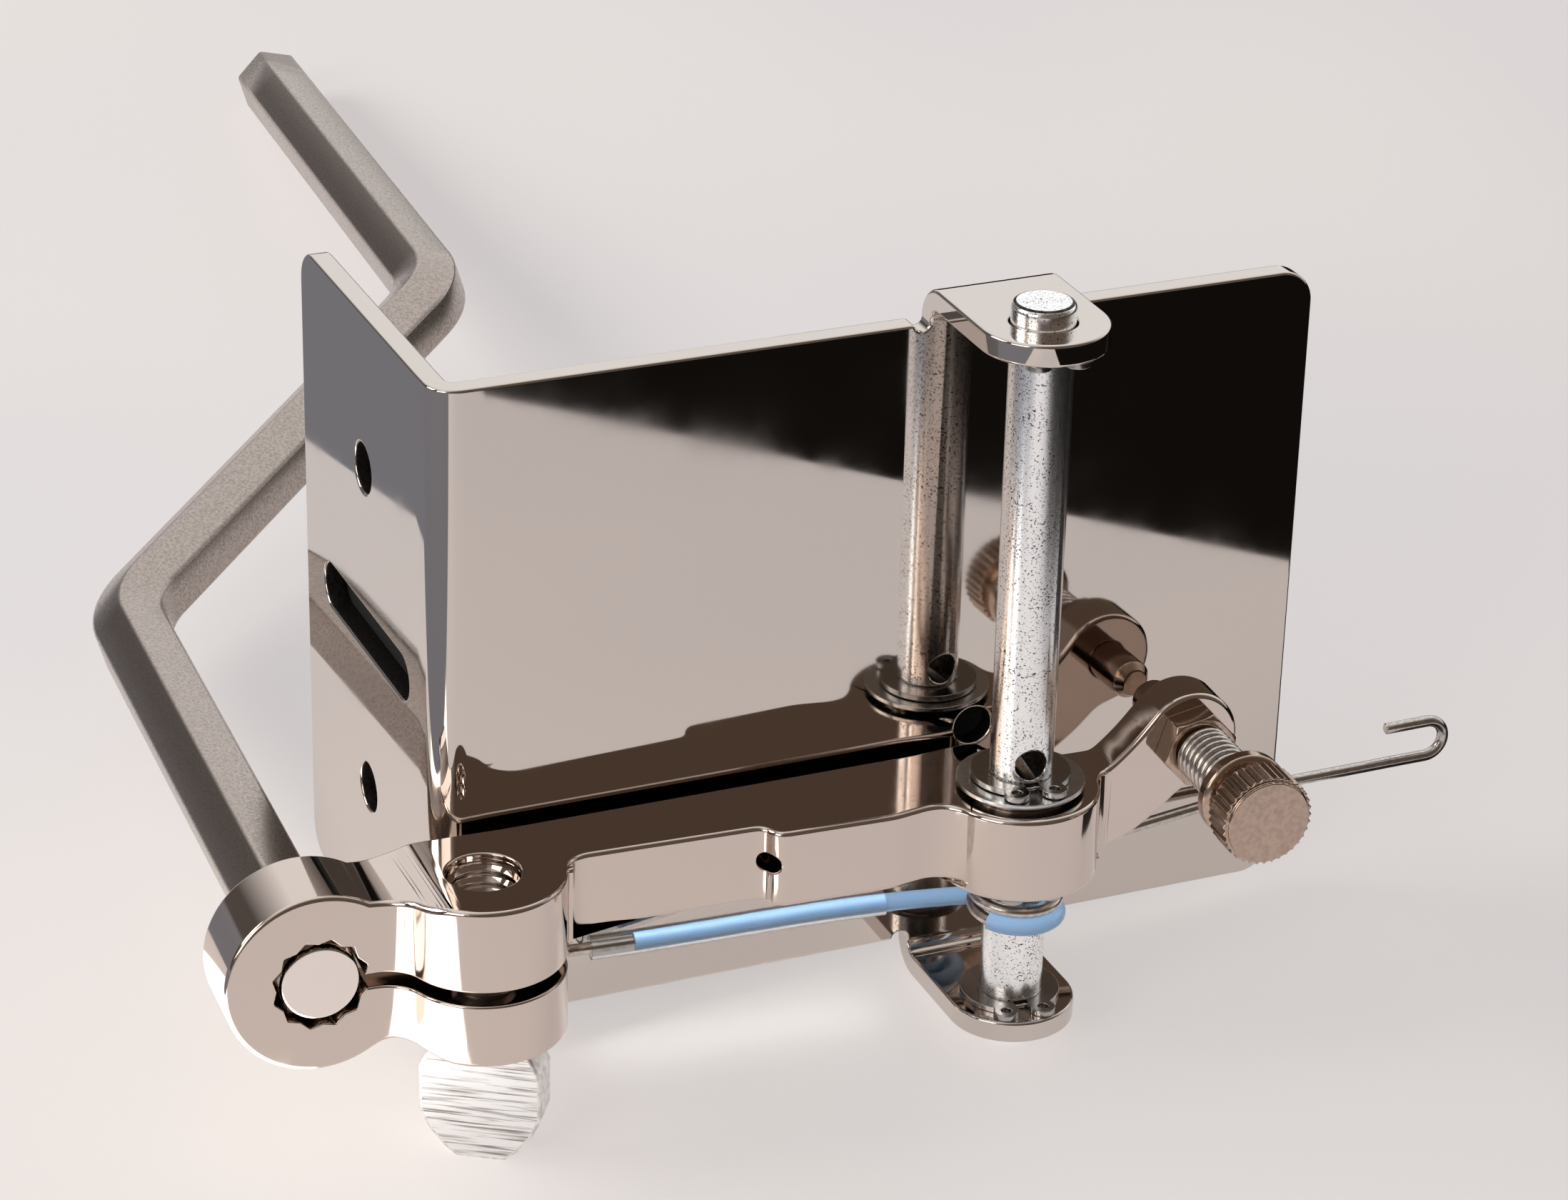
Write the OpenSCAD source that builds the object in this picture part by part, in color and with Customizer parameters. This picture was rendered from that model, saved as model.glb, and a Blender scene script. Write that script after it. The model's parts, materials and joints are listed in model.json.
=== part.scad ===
// String bender for a guitar: a folded bracket that screws to the guitar body,
// a lever on a pivot shaft, a hip rod that moves the lever, and a hook that
// pulls the string.
// Units are millimetres. +X runs along the strings towards the hook, +Y runs
// through the face of the bracket to its back, and +Z runs up the pivot shaft.
// The origin is on the outside of the flange, midway between its screw holes.

/* [Bracket] */
// Thickness of the folded sheet
sheet_t = 2.3; // [1.8:0.1:2.8]
// Length of the face plate, from the outside of the flange
plate_w = 93; // [84:1:110]
// Height of the face plate and of the flange
plate_h = 68.3; // [62:0.1:80]
// Depth of the flange, from the front of the face plate
flange_d = 40.4; // [38:0.1:50]
// Inside radius of the fold between flange and face plate
fold_in_r = 0.7; // [0.3:0.1:2]
// Radius of the sheet's outer corners
corner_r = 3.5; // [1:0.5:6]
// Diameter of the two flange screw holes
screw_hole_d = 5.1; // [4:0.1:6]
// Distance between the two flange screw holes
screw_spacing = 35.4; // [30:0.1:42]
// Distance of the screw row behind the front of the face plate
screw_row_y = 21.4; // [19:0.1:22]
// Length of the strap button slot
slot_l = 26.4; // [18:0.1:30]
// Width of the strap button slot
slot_w = 4.8; // [4.4:0.1:6]
// Diameter of the round hole through the face plate
plate_hole_d = 4; // [3:0.1:6]
// Height of that hole above the lower edge of the face plate
plate_hole_z = 23.4; // [18:0.1:34]

/* [Ears] */
// Width of the two ears that hold the pivot shaft
ear_w = 13; // [11:0.5:16]
// Inside radius of the bend at the root of each ear
ear_bend_r = 1.5; // [1:0.1:2.5]
// Diameter of the round relief notches at the ear roots
relief_d = 1.6; // [1:0.1:2]
// Gap between the pivot shaft and its holes in the ears
ear_hole_gap = 0.12; // [0.05:0.01:0.3]

/* [Pivot] */
// Diameter of the pivot shaft
shaft_d = 6.35; // [5.5:0.05:7]
// Distance of the pivot shaft from the outside of the flange
pivot_x = 57.3; // [52:0.1:66]
// Distance of the pivot shaft in front of the face plate
pivot_y = 11.2; // [11:0.1:14]
// Length of shaft above the upper ear
shaft_over = 2; // [1:0.1:5]
// Length of shaft below the lower ear
shaft_under = 1.9; // [1:0.1:5]
// Chamfer at both ends of the shaft
shaft_chamfer = 0.4; // [0.2:0.1:0.8]
// Diameter of the cross hole in the shaft
cross_hole_d = 3.2; // [2:0.1:3.6]
// Thickness of a retaining ring
ring_t = 0.64; // [0.4:0.01:1]
// Depth of the groove that a retaining ring sits in
groove_depth = 0.26; // [0.15:0.01:0.5]
// Width of a retaining ring's band
ring_band = 2.1; // [1.6:0.1:2.4]
// Radius of the two lugs of a retaining ring
ring_lug_r = 1.25; // [1:0.05:1.4]
// Diameter of the tool hole in each lug
ring_lug_hole_d = 1; // [0.6:0.1:1.2]

/* [Bushings] */
// Radial gap between the shaft and what turns on it
turn_gap = 0.03; // [0.01:0.01:0.08]
// Gap between the stack on the lever and each retaining ring
end_play = 0.1; // [0.05:0.01:0.25]
// Wall of a bushing
bushing_wall = 0.8; // [0.6:0.1:1.2]
// Length of a bushing inside the lever
bushing_l = 3.8; // [2:0.1:4.4]
// Radius of a bushing's flange
bushing_flange_r = 5; // [4.8:0.1:5.6]
// Thickness of a bushing's flange
bushing_flange_t = 0.5; // [0.3:0.1:0.8]
// Radius of the washer on the upper bushing
washer_r = 6.45; // [6:0.05:7.5]
// Thickness of that washer
washer_t = 0.45; // [0.3:0.05:0.8]

/* [Lever] */
// Turn of the lever about the shaft, from parallel to the face plate
lever_turn = -2.9; // [-3.2:0.1:-2.6]
// Height of the lever's top face above the lower edge of the face plate
lever_top = 22.3; // [21:0.1:28]
// Radius of the boss round the pivot shaft
boss_r = 8; // [7.6:0.1:9]
// Height of the boss round the pivot shaft
boss_h = 9.2; // [9:0.1:10.5]
// Height of the arm
arm_h = 8.3; // [6.5:0.1:8.6]
// Distance from the pivot shaft to the clamp screw
arm_l = 55.9; // [53:0.1:62]
// Thickness of the arm beside the clamp, in front of the pivot line
arm_front = 0.5; // [0:0.1:1]
// Distance of the arm's back face behind the pivot line, at the clamp
arm_back = 7.1; // [6.4:0.1:7.6]
// Distance of the arm's back face behind the pivot line, at the pivot
arm_back_root = 9.2; // [8.6:0.1:9.4]
// Distance from the pivot shaft to the ridge in the front of the arm
ridge_x = 27; // [24:0.5:32]
// Height of the ridge over the arm's front face
ridge_h = 2; // [1:0.1:3]
// Diameter of the small hole at the ridge
dimple_d = 2; // [1:0.1:2.4]

/* [Clamp] */
// Radius of the upright boss that the clamp screw goes through
clamp_boss_r = 8.1; // [7.6:0.1:9]
// Distance of the clamp screw in front of the pivot line
clamp_screw_y = 0.8; // [0:0.1:1.5]
// Height of the clamp, over both jaws
clamp_h = 17; // [15.5:0.1:17.5]
// Distance from the clamp screw to the bore for the rod
clamp_reach = 16.4; // [15:0.1:18]
// Radius of the round end of the clamp
clamp_disc_r = 9.4; // [8.6:0.1:10]
// Distance of the clamp's front face in front of the pivot line
clamp_front = 1.7; // [1.4:0.1:2.4]
// Height of the rod's bore below the lever's top face
clamp_drop = 9; // [8.6:0.1:9.4]
// Step from the lever's top face down to the neck of the clamp
neck_drop = 1; // [0.5:0.1:2]
// Width of the slit between the jaws
slit_w = 1.4; // [0.8:0.1:1.6]
// Radius of the fillets beside the upright boss
clamp_fillet = 3; // [1:0.5:4]
// Gap between a flat of the rod and a flat of its bore
rod_gap = 0.2; // [0.1:0.01:0.3]

/* [Clamp screw] */
// Diameter of the clamp screw
clamp_screw_d = 6.35; // [5.5:0.05:6.6]
// Radial gap between the clamp screw and its threaded hole
thread_gap = 0.05; // [0.02:0.01:0.1]
// Width of the chamfered mouth round the threaded hole
clamp_mouth = 0.5; // [0.2:0.1:0.8]
// Distance of the screw's end below the lever's top face
clamp_screw_sunk = 4.8; // [3:0.1:6]
// Width of the thumb piece
spade_w = 12.2; // [10:0.1:16]
// Width of the thumb piece where it meets the screw
spade_root_w = 9.3; // [8:0.1:9.8]
// Thickness of the thumb piece
spade_t = 4.6; // [3:0.1:6]
// Height of the thumb piece
spade_h = 13.8; // [10:0.1:18]
// Turn of the thumb piece about its screw
spade_turn = -30; // [-80:5:80]

/* [Hip rod] */
// Distance across the flats of the rod
rod_af = 7.94; // [7:0.01:8.2]
// Length of the rod before its first bend
rod_l1 = 82.6; // [70:0.1:110]
// Length of the rod between its bends
rod_l2 = 69.3; // [50:0.1:90]
// Length of the rod after its second bend
rod_l3 = 81.1; // [40:0.1:110]
// Angle of each bend
rod_bend = 48; // [30:1:60]
// Radius of each bend
rod_bend_r = 12; // [8:0.5:16]
// Turn of the rod and of its bore about the rod's own axis
rod_roll = 16.5; // [0:0.5:30]
// Chamfer at both ends of the rod
rod_chamfer = 1; // [0.5:0.1:1.5]

/* [Eye and stop screw] */
// Distance from the pivot shaft to the stop screw
stop_x = 18.55; // [17:0.05:22]
// Height of the stop screw above the lever's top face
stop_rise = 1.9; // [1:0.1:3]
// Radius of the eye that holds the stop screw
eye_r = 5.1; // [4.6:0.1:6]
// Distance of the eye's back face behind the pivot line
eye_back = 4.9; // [4:0.1:6]
// Thickness of the eye
eye_t = 4.8; // [4:0.1:5.6]
// Diameter of the stop screw
stop_d = 4.17; // [3.6:0.01:4.6]
// Length of the stop screw behind the eye
stop_tip = 5.9; // [5:0.1:5.9]
// Distance across the flats of the stop screw's nut
nut_af = 7; // [6.6:0.1:8]
// Thickness of the stop screw's nut
nut_t = 2.6; // [2:0.1:3.2]
// Length of the spring between nut and knob
stop_spring_l = 8.5; // [7.5:0.1:12]
// Diameter of that spring's wire
stop_wire_d = 0.65; // [0.5:0.01:0.66]
// Number of curls in that spring
stop_curls = 6; // [4:1:6]
// Gap between that spring and the knob
stop_spring_gap = 0.1; // [0.05:0.01:0.3]
// Diameter of the knurled knob
knob_d = 9.6; // [8.5:0.1:12]
// Length of the knob, with its groove and collar
knob_l = 7.1; // [6:0.1:9]
// Length of the knob's collar
collar_l = 1.8; // [1:0.1:2.4]
// Number of teeth round the knob
knob_teeth = 36; // [24:2:40]

/* [Return spring] */
// Diameter of the return spring's wire
wire_d = 1.2; // [1:0.01:1.22]
// Distance from the shaft's surface to the middle of the coil's wire
coil_gap = 1.12; // [1.1:0.01:1.3]
// Rise from one turn of the coil to the next
coil_pitch = 1.65; // [1.64:0.01:1.8]
// Number of rings in one turn of the coil
coil_rings = 12; // [12:2:16]
// Height of the coil's lower end above the lower edge of the face plate
coil_low = 7.5; // [6.8:0.1:7.6]
// Diameter of the tight sleeve over the wire
inner_sleeve_d = 1.86; // [1.7:0.01:1.88]
// Diameter of the loose sleeve over the leg
outer_sleeve_d = 2.5; // [2.2:0.05:2.7]
// Distance of the leg's end from the outside of the flange
leg_end_x = 13; // [8:0.5:30]

/* [String hook] */
// Diameter of the hook's wire
hook_d = 1.2; // [1:0.05:1.3]
// Distance of the hook's pin to the left of the pivot shaft
hook_pin_x = 1.85; // [1.5:0.05:3]
// Distance of the hook's pin behind the pivot shaft
hook_pin_y = 7.5; // [7.2:0.1:7.8]
// Distance of the hook's outer end from the outside of the flange
hook_reach = 112.8; // [100:0.1:130]
// Distance between the two sides of the hook, between their centres
hook_mouth = 4.1; // [3.4:0.1:6]
// Length of the hook's tip
hook_tip_l = 5; // [3:0.1:8]
// Distance of the hook's wire in front of the face plate, at its outer end
hook_y = 1; // [0.9:0.1:1.6]

/* [Hidden] */
$fn = 64;

// What follows from the sizes above
fold_out_r = fold_in_r + sheet_t;
shaft_r = shaft_d / 2;
groove_r = shaft_r - groove_depth;
ear_top_under = plate_h + ear_bend_r;
ear_low_over = -ear_bend_r;
boss_bottom = lever_top - boss_h;
arm_bottom = lever_top - arm_h;
clamp_bottom = lever_top - clamp_h;
rod_z = lever_top - clamp_drop;
clamp_x = -arm_l;
disc_x = -arm_l - clamp_reach;
star_af = rod_af + 2 * rod_gap;
slit_top = rod_z + slit_w / 7;
stop_z = lever_top + stop_rise;
eye_front = eye_back - eye_t;
nut_front = eye_front - nut_t;
knob_back = nut_front - stop_spring_l - stop_spring_gap;
bushing_r = shaft_r + turn_gap + bushing_wall;
washer_top = lever_top + bushing_flange_t + washer_t;
top_ring_z = washer_top + end_play;
under_ring_top = boss_bottom - bushing_flange_t - end_play;
// The rod starts just inside the clamp's front face
rod_start = -clamp_front + 0.2;
overlap = 0.02;
// The gaps of the retaining rings and the cross hole face the front
front_turn = -97;
// Steps in each bend of the rod
rod_bend_steps = 10;
// Slack between a ring and the walls of its groove
groove_slack = 0.03;
// Height of the cross hole's centre over the ring on the lever
cross_hole_rise = 0.3;

// Moves what is drawn from the lower corner of the fold to the origin
module placed() {
  translate([0, -screw_row_y, -plate_h / 2])
    children();
}

// Moves what is drawn round the pivot to the lever's rest position
module on_lever() {
  placed()
    translate([pivot_x, -pivot_y, 0])
      rotate([0, 0, lever_turn])
        children();
}

// A sheet outline with two rounded corners on its right side
module sheet_outline(w, h, r) {
  square([w - r, h]);
  translate([0, r])
    square([w, h - 2 * r]);
  for (z = [r, h - r])
    translate([w - r, z])
      circle(r = r);
}

// One ear, drawn for the upper edge: bend, strap and round nose
module ear_solid() {
  rb = ear_bend_r;
  translate([-ear_w / 2, 0, 0])
    rotate([90, 0, 90])
      linear_extrude(ear_w) {
        intersection() {
          translate([-rb, 0])
            difference() {
              circle(r = rb + sheet_t);
              circle(r = rb);
            }
          translate([-rb, 0])
            square(rb + 2 * sheet_t);
        }
        translate([-pivot_y, rb])
          square([pivot_y - rb + overlap, sheet_t]);
      }
  translate([0, -pivot_y, rb])
    cylinder(r = ear_w / 2, h = sheet_t);
}

module mounting_bracket() {
  color("#d9dadb")
    placed()
      difference() {
        union() {
          translate([fold_out_r, sheet_t, 0])
            rotate([90, 0, 0])
              linear_extrude(sheet_t)
                sheet_outline(plate_w - fold_out_r, plate_h, corner_r);
          translate([0, fold_out_r, 0])
            rotate([90, 0, 90])
              linear_extrude(sheet_t)
                sheet_outline(flange_d - fold_out_r, plate_h, corner_r);
          translate([fold_out_r, fold_out_r, 0])
            rotate([0, 0, 180])
              rotate_extrude(angle = 90)
                translate([fold_in_r, 0])
                  square([sheet_t, plate_h]);
          translate([pivot_x, 0, plate_h])
            ear_solid();
          translate([pivot_x, 0, 0])
            mirror([0, 0, 1])
              ear_solid();
        }
        bracket_holes();
      }
}

module bracket_holes() {
  // Screw holes and strap button slot in the flange
  for (side = [-1, 1])
    translate([-1, screw_row_y, plate_h / 2 + side * screw_spacing / 2])
      rotate([0, 90, 0])
        cylinder(d = screw_hole_d, h = sheet_t + 2);
  translate([-1, screw_row_y, plate_h / 2])
    rotate([90, 0, 90])
      linear_extrude(sheet_t + 2) {
        square([slot_l - slot_w, slot_w], center = true);
        for (side = [-1, 1])
          translate([side * (slot_l - slot_w) / 2, 0])
            circle(d = slot_w);
      }
  // Round hole in the face plate, behind the shaft
  translate([pivot_x, -1, plate_hole_z])
    rotate([-90, 0, 0])
      cylinder(d = plate_hole_d, h = sheet_t + 2);
  // Relief notches beside the ear roots
  for (side = [-1, 1], z = [0, plate_h])
    translate([pivot_x + side * (ear_w + relief_d) / 2, -1, z])
      rotate([-90, 0, 0])
        cylinder(d = relief_d, h = sheet_t + 2);
  // Pivot holes in the ears
  for (z = [ear_low_over - sheet_t - 1, ear_top_under - 1])
    translate([pivot_x, -pivot_y, z])
      cylinder(r = shaft_r + ear_hole_gap, h = sheet_t + 2);
}

// A groove for a ring whose lower face is at height z
module ring_groove(z) {
  translate([0, 0, z - groove_slack])
    difference() {
      cylinder(r = shaft_r + 1, h = ring_t + 2 * groove_slack);
      translate([0, 0, -1])
        cylinder(r = groove_r, h = ring_t + 2 * groove_slack + 2);
    }
}

module pivot_shaft() {
  z0 = ear_low_over - sheet_t - shaft_under;
  z1 = ear_top_under + sheet_t + shaft_over;
  c = shaft_chamfer;
  color("#8d8a86")
    placed()
      translate([pivot_x, -pivot_y, 0])
        difference() {
          rotate_extrude()
            polygon([
              [0, z0], [shaft_r - c, z0], [shaft_r, z0 + c],
              [shaft_r, z1 - c], [shaft_r - c, z1], [0, z1]
            ]);
          ring_groove(ear_top_under - ring_t);
          ring_groove(ear_low_over);
          ring_groove(top_ring_z);
          ring_groove(under_ring_top - ring_t);
          translate([0, 0, top_ring_z + ring_t + cross_hole_rise + cross_hole_d / 2])
            rotate([0, 90, front_turn])
              cylinder(d = cross_hole_d, h = shaft_d + 2, center = true);
        }
}

// A snap ring lying on height z, its gap turned to the front
module retaining_ring(z) {
  band_r = groove_r + groove_slack + ring_band;
  lug_at = groove_r + ring_band;
  lug_turn = asin((ring_lug_r + 0.7) / lug_at);
  color("#4c4a48")
    placed()
      translate([pivot_x, -pivot_y, z])
        rotate([0, 0, front_turn])
          linear_extrude(ring_t)
            difference() {
              union() {
                translate([-0.2, 0])
                  circle(r = band_r);
                for (side = [-1, 1])
                  rotate(side * lug_turn)
                    translate([lug_at, 0])
                      circle(r = ring_lug_r);
              }
              circle(r = groove_r + groove_slack);
              translate([0, -0.7])
                square([lug_at + 2 * ring_lug_r, 1.4]);
              for (side = [-1, 1])
                rotate(side * lug_turn)
                  translate([lug_at, 0])
                    circle(d = ring_lug_hole_d);
            }
}

module upper_ear_ring() {
  retaining_ring(ear_top_under - ring_t);
}

module lower_ear_ring() {
  retaining_ring(ear_low_over);
}

module lever_top_ring() {
  retaining_ring(top_ring_z);
}

module lever_under_ring() {
  retaining_ring(under_ring_top - ring_t);
}

// Flanged bushing with its flange's lower face at height 0, body downwards
module bushing_solid() {
  bore = shaft_r + turn_gap;
  rotate_extrude()
    polygon([
      [bore, -bushing_l], [bushing_r, -bushing_l], [bushing_r, 0],
      [bushing_flange_r, 0], [bushing_flange_r, bushing_flange_t],
      [bore, bushing_flange_t]
    ]);
}

module bushing_upper() {
  color("#c9b27a")
    on_lever()
      translate([0, 0, lever_top])
        bushing_solid();
}

module bushing_lower() {
  color("#c9b27a")
    on_lever()
      translate([0, 0, boss_bottom])
        mirror([0, 0, 1])
          bushing_solid();
}

module lever_washer() {
  color("#a9a9ab")
    on_lever()
      translate([0, 0, lever_top + bushing_flange_t])
        linear_extrude(washer_t)
          difference() {
            circle(r = washer_r);
            circle(r = shaft_r + 2 * turn_gap);
          }
}

// Concave fillet between the upright boss and a flat front face
module boss_fillet(face_y, side) {
  f = clamp_fillet;
  drop = clamp_screw_y - face_y - f;
  reach = sqrt(pow(clamp_boss_r + f, 2) - pow(drop, 2));
  difference() {
    polygon([
      [0, -clamp_screw_y], [side * reach, -face_y - f],
      [side * reach, -face_y + 1], [0, -face_y + 1]
    ]);
    translate([side * reach, -face_y - f])
      circle(r = f);
  }
}

// Plan of the clamp at its screw: upright boss and the block behind it
module clamp_plan() {
  translate([clamp_x, -clamp_screw_y])
    circle(r = clamp_boss_r);
  translate([clamp_x - clamp_boss_r + 1, -arm_front])
    square([2 * clamp_boss_r - 1, arm_front + arm_back]);
}

// Plan of the neck between the upright boss and the round end
module neck_plan() {
  translate([disc_x, -clamp_front])
    square([clamp_reach, clamp_front + arm_back]);
  translate([clamp_x, 0])
    boss_fillet(clamp_front, -1);
}

// Plan of the arm, from the clamp screw to the pivot
module arm_plan() {
  step = arm_front + ridge_h;
  back_slope = (arm_back_root - arm_back) / (arm_l - boss_r);
  polygon([
    [clamp_x, -arm_front], [-ridge_x - 0.7, -arm_front],
    [-ridge_x + 0.8, -step], [-14, -step], [-10, -step + 0.8],
    [-boss_r + 0.6, -step - 0.4], [0, -step], [0, arm_back_root],
    [-1.4, arm_back_root + 0.6], [-3.6, arm_back_root + 0.6],
    [-boss_r, arm_back_root], [clamp_x, arm_back_root - back_slope * (arm_l - boss_r)]
  ]);
  translate([clamp_x, 0])
    boss_fillet(arm_front, 1);
}

// Side of the band that climbs from the pivot boss to the eye
module eye_side() {
  low = boss_bottom;
  top = lever_top;
  polygon([
    [3, low], [boss_r, low], [stop_x - 6.4, low + 1.2],
    [stop_x - 3.3, low + 3.3], [stop_x, stop_z - eye_r], [stop_x, stop_z],
    [stop_x - eye_r * 0.7, stop_z + eye_r * 0.714],
    [stop_x - eye_r - 0.35, stop_z + 1.4], [stop_x - 7, stop_z - 0.2],
    [stop_x - 8.8, top], [3, top]
  ]);
}

// Twelve-pointed bore outline, two hexagons turned against each other
module star_outline() {
  for (turn = [0, 30])
    rotate(turn)
      circle(r = star_af / 2 / cos(30), $fn = 6);
}

module lever_body() {
  translate([0, 0, boss_bottom])
    cylinder(r = boss_r, h = boss_h);
  translate([0, 0, arm_bottom])
    linear_extrude(arm_h)
      arm_plan();
  translate([0, 0, clamp_bottom])
    linear_extrude(clamp_h)
      clamp_plan();
  translate([0, 0, clamp_bottom])
    linear_extrude(clamp_h - neck_drop)
      neck_plan();
  translate([disc_x, arm_back, rod_z])
    rotate([90, 0, 0])
      cylinder(r = clamp_disc_r, h = arm_back + clamp_front);
  // Band and eye for the stop screw
  translate([0, eye_back, 0])
    rotate([90, 0, 0])
      linear_extrude(eye_t)
        eye_side();
  translate([stop_x, eye_back, stop_z])
    rotate([90, 0, 0])
      rotate_extrude()
        polygon([
          [0, 0], [eye_r, 0], [eye_r, eye_t - 0.7],
          [eye_r - 0.2, eye_t - 0.2], [eye_r - 0.7, eye_t], [0, eye_t]
        ]);
}

module lever_cuts() {
  // Bore of the bushings
  translate([0, 0, boss_bottom - 1])
    cylinder(r = bushing_r + 0.01, h = boss_h + 2);
  // Hollow behind the pivot boss
  translate([3.5, boss_r + 2.6, boss_bottom - 1])
    cylinder(r = 4.2, h = boss_h + 2);
  // Small hole at the ridge
  translate([-ridge_x, -arm_front - ridge_h - 1, lever_top - 3.7])
    rotate([-90, 0, 0])
      cylinder(d = dimple_d, h = ridge_h + 3);
  // Slit between the jaws, from the rod's bore to the boss's right side
  translate([disc_x, -clamp_boss_r - clamp_screw_y - 1, slit_top - slit_w])
    cube([clamp_reach + clamp_boss_r + 1, clamp_boss_r + arm_back + 4, slit_w]);
  // Bore for the rod
  translate([disc_x, arm_back + 1, rod_z])
    rotate([90, 0, 0])
      linear_extrude(arm_back + clamp_front + 2)
        rotate(rod_roll)
          star_outline();
  // Threaded hole for the clamp screw, with a chamfered mouth
  translate([clamp_x, -clamp_screw_y, clamp_bottom - 1])
    cylinder(r = clamp_screw_d / 2 + thread_gap, h = clamp_h + 2);
  translate([clamp_x, -clamp_screw_y, lever_top - clamp_mouth])
    cylinder(r1 = clamp_screw_d / 2 + thread_gap,
             r2 = clamp_screw_d / 2 + thread_gap + 2 * clamp_mouth,
             h = 2 * clamp_mouth);
  // Threaded hole for the stop screw
  translate([stop_x, eye_back + 1, stop_z])
    rotate([90, 0, 0])
      cylinder(r = stop_d / 2 + thread_gap, h = eye_t + 2);
  // Hole for the hook's pin
  translate([-hook_pin_x, hook_pin_y, arm_bottom - 3])
    cylinder(r = hook_d / 2 + hook_pin_gap, h = hook_pin_l + 4);
  // Hole for the upper end of the return spring
  translate([tail_r * cos(tail_turn), tail_r * sin(tail_turn), boss_bottom - 1])
    cylinder(r = wire_d / 2 + tail_slack, h = tail_l + 2);
}

module hip_lever() {
  color("#cfcac2")
    on_lever()
      difference() {
        lever_body();
        lever_cuts();
      }
}

module clamp_thumb_screw() {
  r = clamp_screw_d / 2;
  top = lever_top - clamp_screw_sunk;
  head = clamp_bottom - end_play;
  color("#8f8a83")
    on_lever()
      translate([clamp_x, -clamp_screw_y, 0]) {
        rotate_extrude()
          polygon([
            [0, head - 2], [r, head - 2], [r, top - 1.6],
            [r - 0.5, top - 0.7], [r - 1.5, top - 0.15], [0, top]
          ]);
        rotate([0, 0, spade_turn - lever_turn])
          translate([0, spade_t / 2, 0])
            rotate([90, 0, 0])
              linear_extrude(spade_t)
                polygon([
                  [-spade_root_w / 2, head], [spade_root_w / 2, head],
                  [spade_root_w / 2 + 0.2, head - 2], [spade_w / 2, head - 5.2],
                  [spade_w / 2, head - spade_h + 2],
                  [spade_w / 2 - 1.6, head - spade_h],
                  [-spade_w / 2 + 1.6, head - spade_h],
                  [-spade_w / 2, head - spade_h + 2],
                  [-spade_w / 2, head - 5.2], [-spade_root_w / 2 - 0.2, head - 2]
                ]);
      }
}

// Middle line of the rod, from its end in the clamp, bending to the right
// and back again
function rod_path() =
  let (trim = rod_bend_r * tan(rod_bend / 2),
       c1 = [rod_bend_r, rod_l1 - trim, 0],
       b2 = [rod_l2 * sin(rod_bend), rod_l1 + rod_l2 * cos(rod_bend), 0],
       c2 = [b2[0] - rod_bend_r, b2[1] + trim, 0],
       far = b2[1] + rod_l3)
    concat(
      [[0, 0, 0], [0, rod_chamfer, 0]],
      [
        for (i = [0:rod_bend_steps])
          let (a = 180 - rod_bend * i / rod_bend_steps)
            c1 + rod_bend_r * [cos(a), sin(a), 0]
      ],
      [
        for (i = [0:rod_bend_steps])
          let (a = -rod_bend + rod_bend * i / rod_bend_steps)
            c2 + rod_bend_r * [cos(a), sin(a), 0]
      ],
      [[b2[0], far - rod_chamfer, 0], [b2[0], far, 0]]
    );

module hip_rod() {
  path = rod_path();
  corner = rod_af / 2 / cos(30);
  radii = [
    for (i = [0:len(path) - 1])
      i == 0 || i == len(path) - 1 ? corner - rod_chamfer : corner
  ];
  color("#9b9894")
    on_lever()
      translate([disc_x, rod_start, rod_z])
        rotate([0, -rod_roll, 0])
          solid_tube(path, radii, 6, [cos(30), 0, sin(30)]);
}

module stop_screw() {
  r = stop_d / 2;
  tip = eye_back + stop_tip;
  groove = knob_l - collar_l - 1.4;
  kr = knob_d / 2;
  color("#b9ab8c")
    on_lever()
      translate([stop_x, 0, stop_z]) {
        rotate([-90, 0, 0])
          rotate_extrude()
            polygon([
              [0, knob_back - 1], [r, knob_back - 1], [r, tip - 0.9],
              [r - 0.7, tip], [0, tip]
            ]);
        // Collar, neck and knurled barrel, from back to front
        translate([0, knob_back, 0])
          rotate([90, 0, 0]) {
            rotate_extrude()
              polygon([
                [0, 0], [kr - 0.6, 0], [kr - 0.2, 0.4], [kr - 0.2, collar_l - 0.3],
                [kr - 0.5, collar_l], [kr - 1.3, collar_l + 0.3],
                [kr - 1.3, collar_l + 1.1], [kr - 0.5, collar_l + 1.5],
                [kr - 0.5, knob_l], [0, knob_l]
              ]);
            translate([0, 0, knob_l - groove])
              linear_extrude(groove - 0.4)
                knurl_outline();
          }
      }
}

// Star-shaped outline of the knurled barrel
module knurl_outline() {
  outer = knob_d / 2;
  inner = outer - 0.35;
  polygon([
    for (i = [0:2 * knob_teeth - 1])
      let (a = 180 * i / knob_teeth, r = i % 2 == 0 ? outer : inner)
        [r * cos(a), r * sin(a)]
  ]);
}

module stop_nut() {
  color("#b9ab8c")
    on_lever()
      translate([stop_x, eye_front, stop_z])
        rotate([90, 0, 0])
          difference() {
            intersection() {
              rotate([0, 0, 12])
                cylinder(r = nut_af / 2 / cos(30), h = nut_t, $fn = 6);
              rotate_extrude()
                polygon([
                  [0, 0], [nut_af / 2 + 0.6, 0], [nut_af / 2 + 0.6, nut_t - 0.4],
                  [nut_af / 2 + 0.1, nut_t], [0, nut_t]
                ]);
            }
            translate([0, 0, -1])
              cylinder(r = stop_d / 2 + thread_gap, h = nut_t + 2);
          }
}

// Sweeps along a list of points

function unit(v) = v / norm(v);

function headings(p) = [
  for (i = [0:len(p) - 1])
    i == 0 ? unit(p[1] - p[0]) :
    i == len(p) - 1 ? unit(p[i] - p[i - 1]) :
    unit(unit(p[i + 1] - p[i]) + unit(p[i] - p[i - 1]))
];

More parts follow.
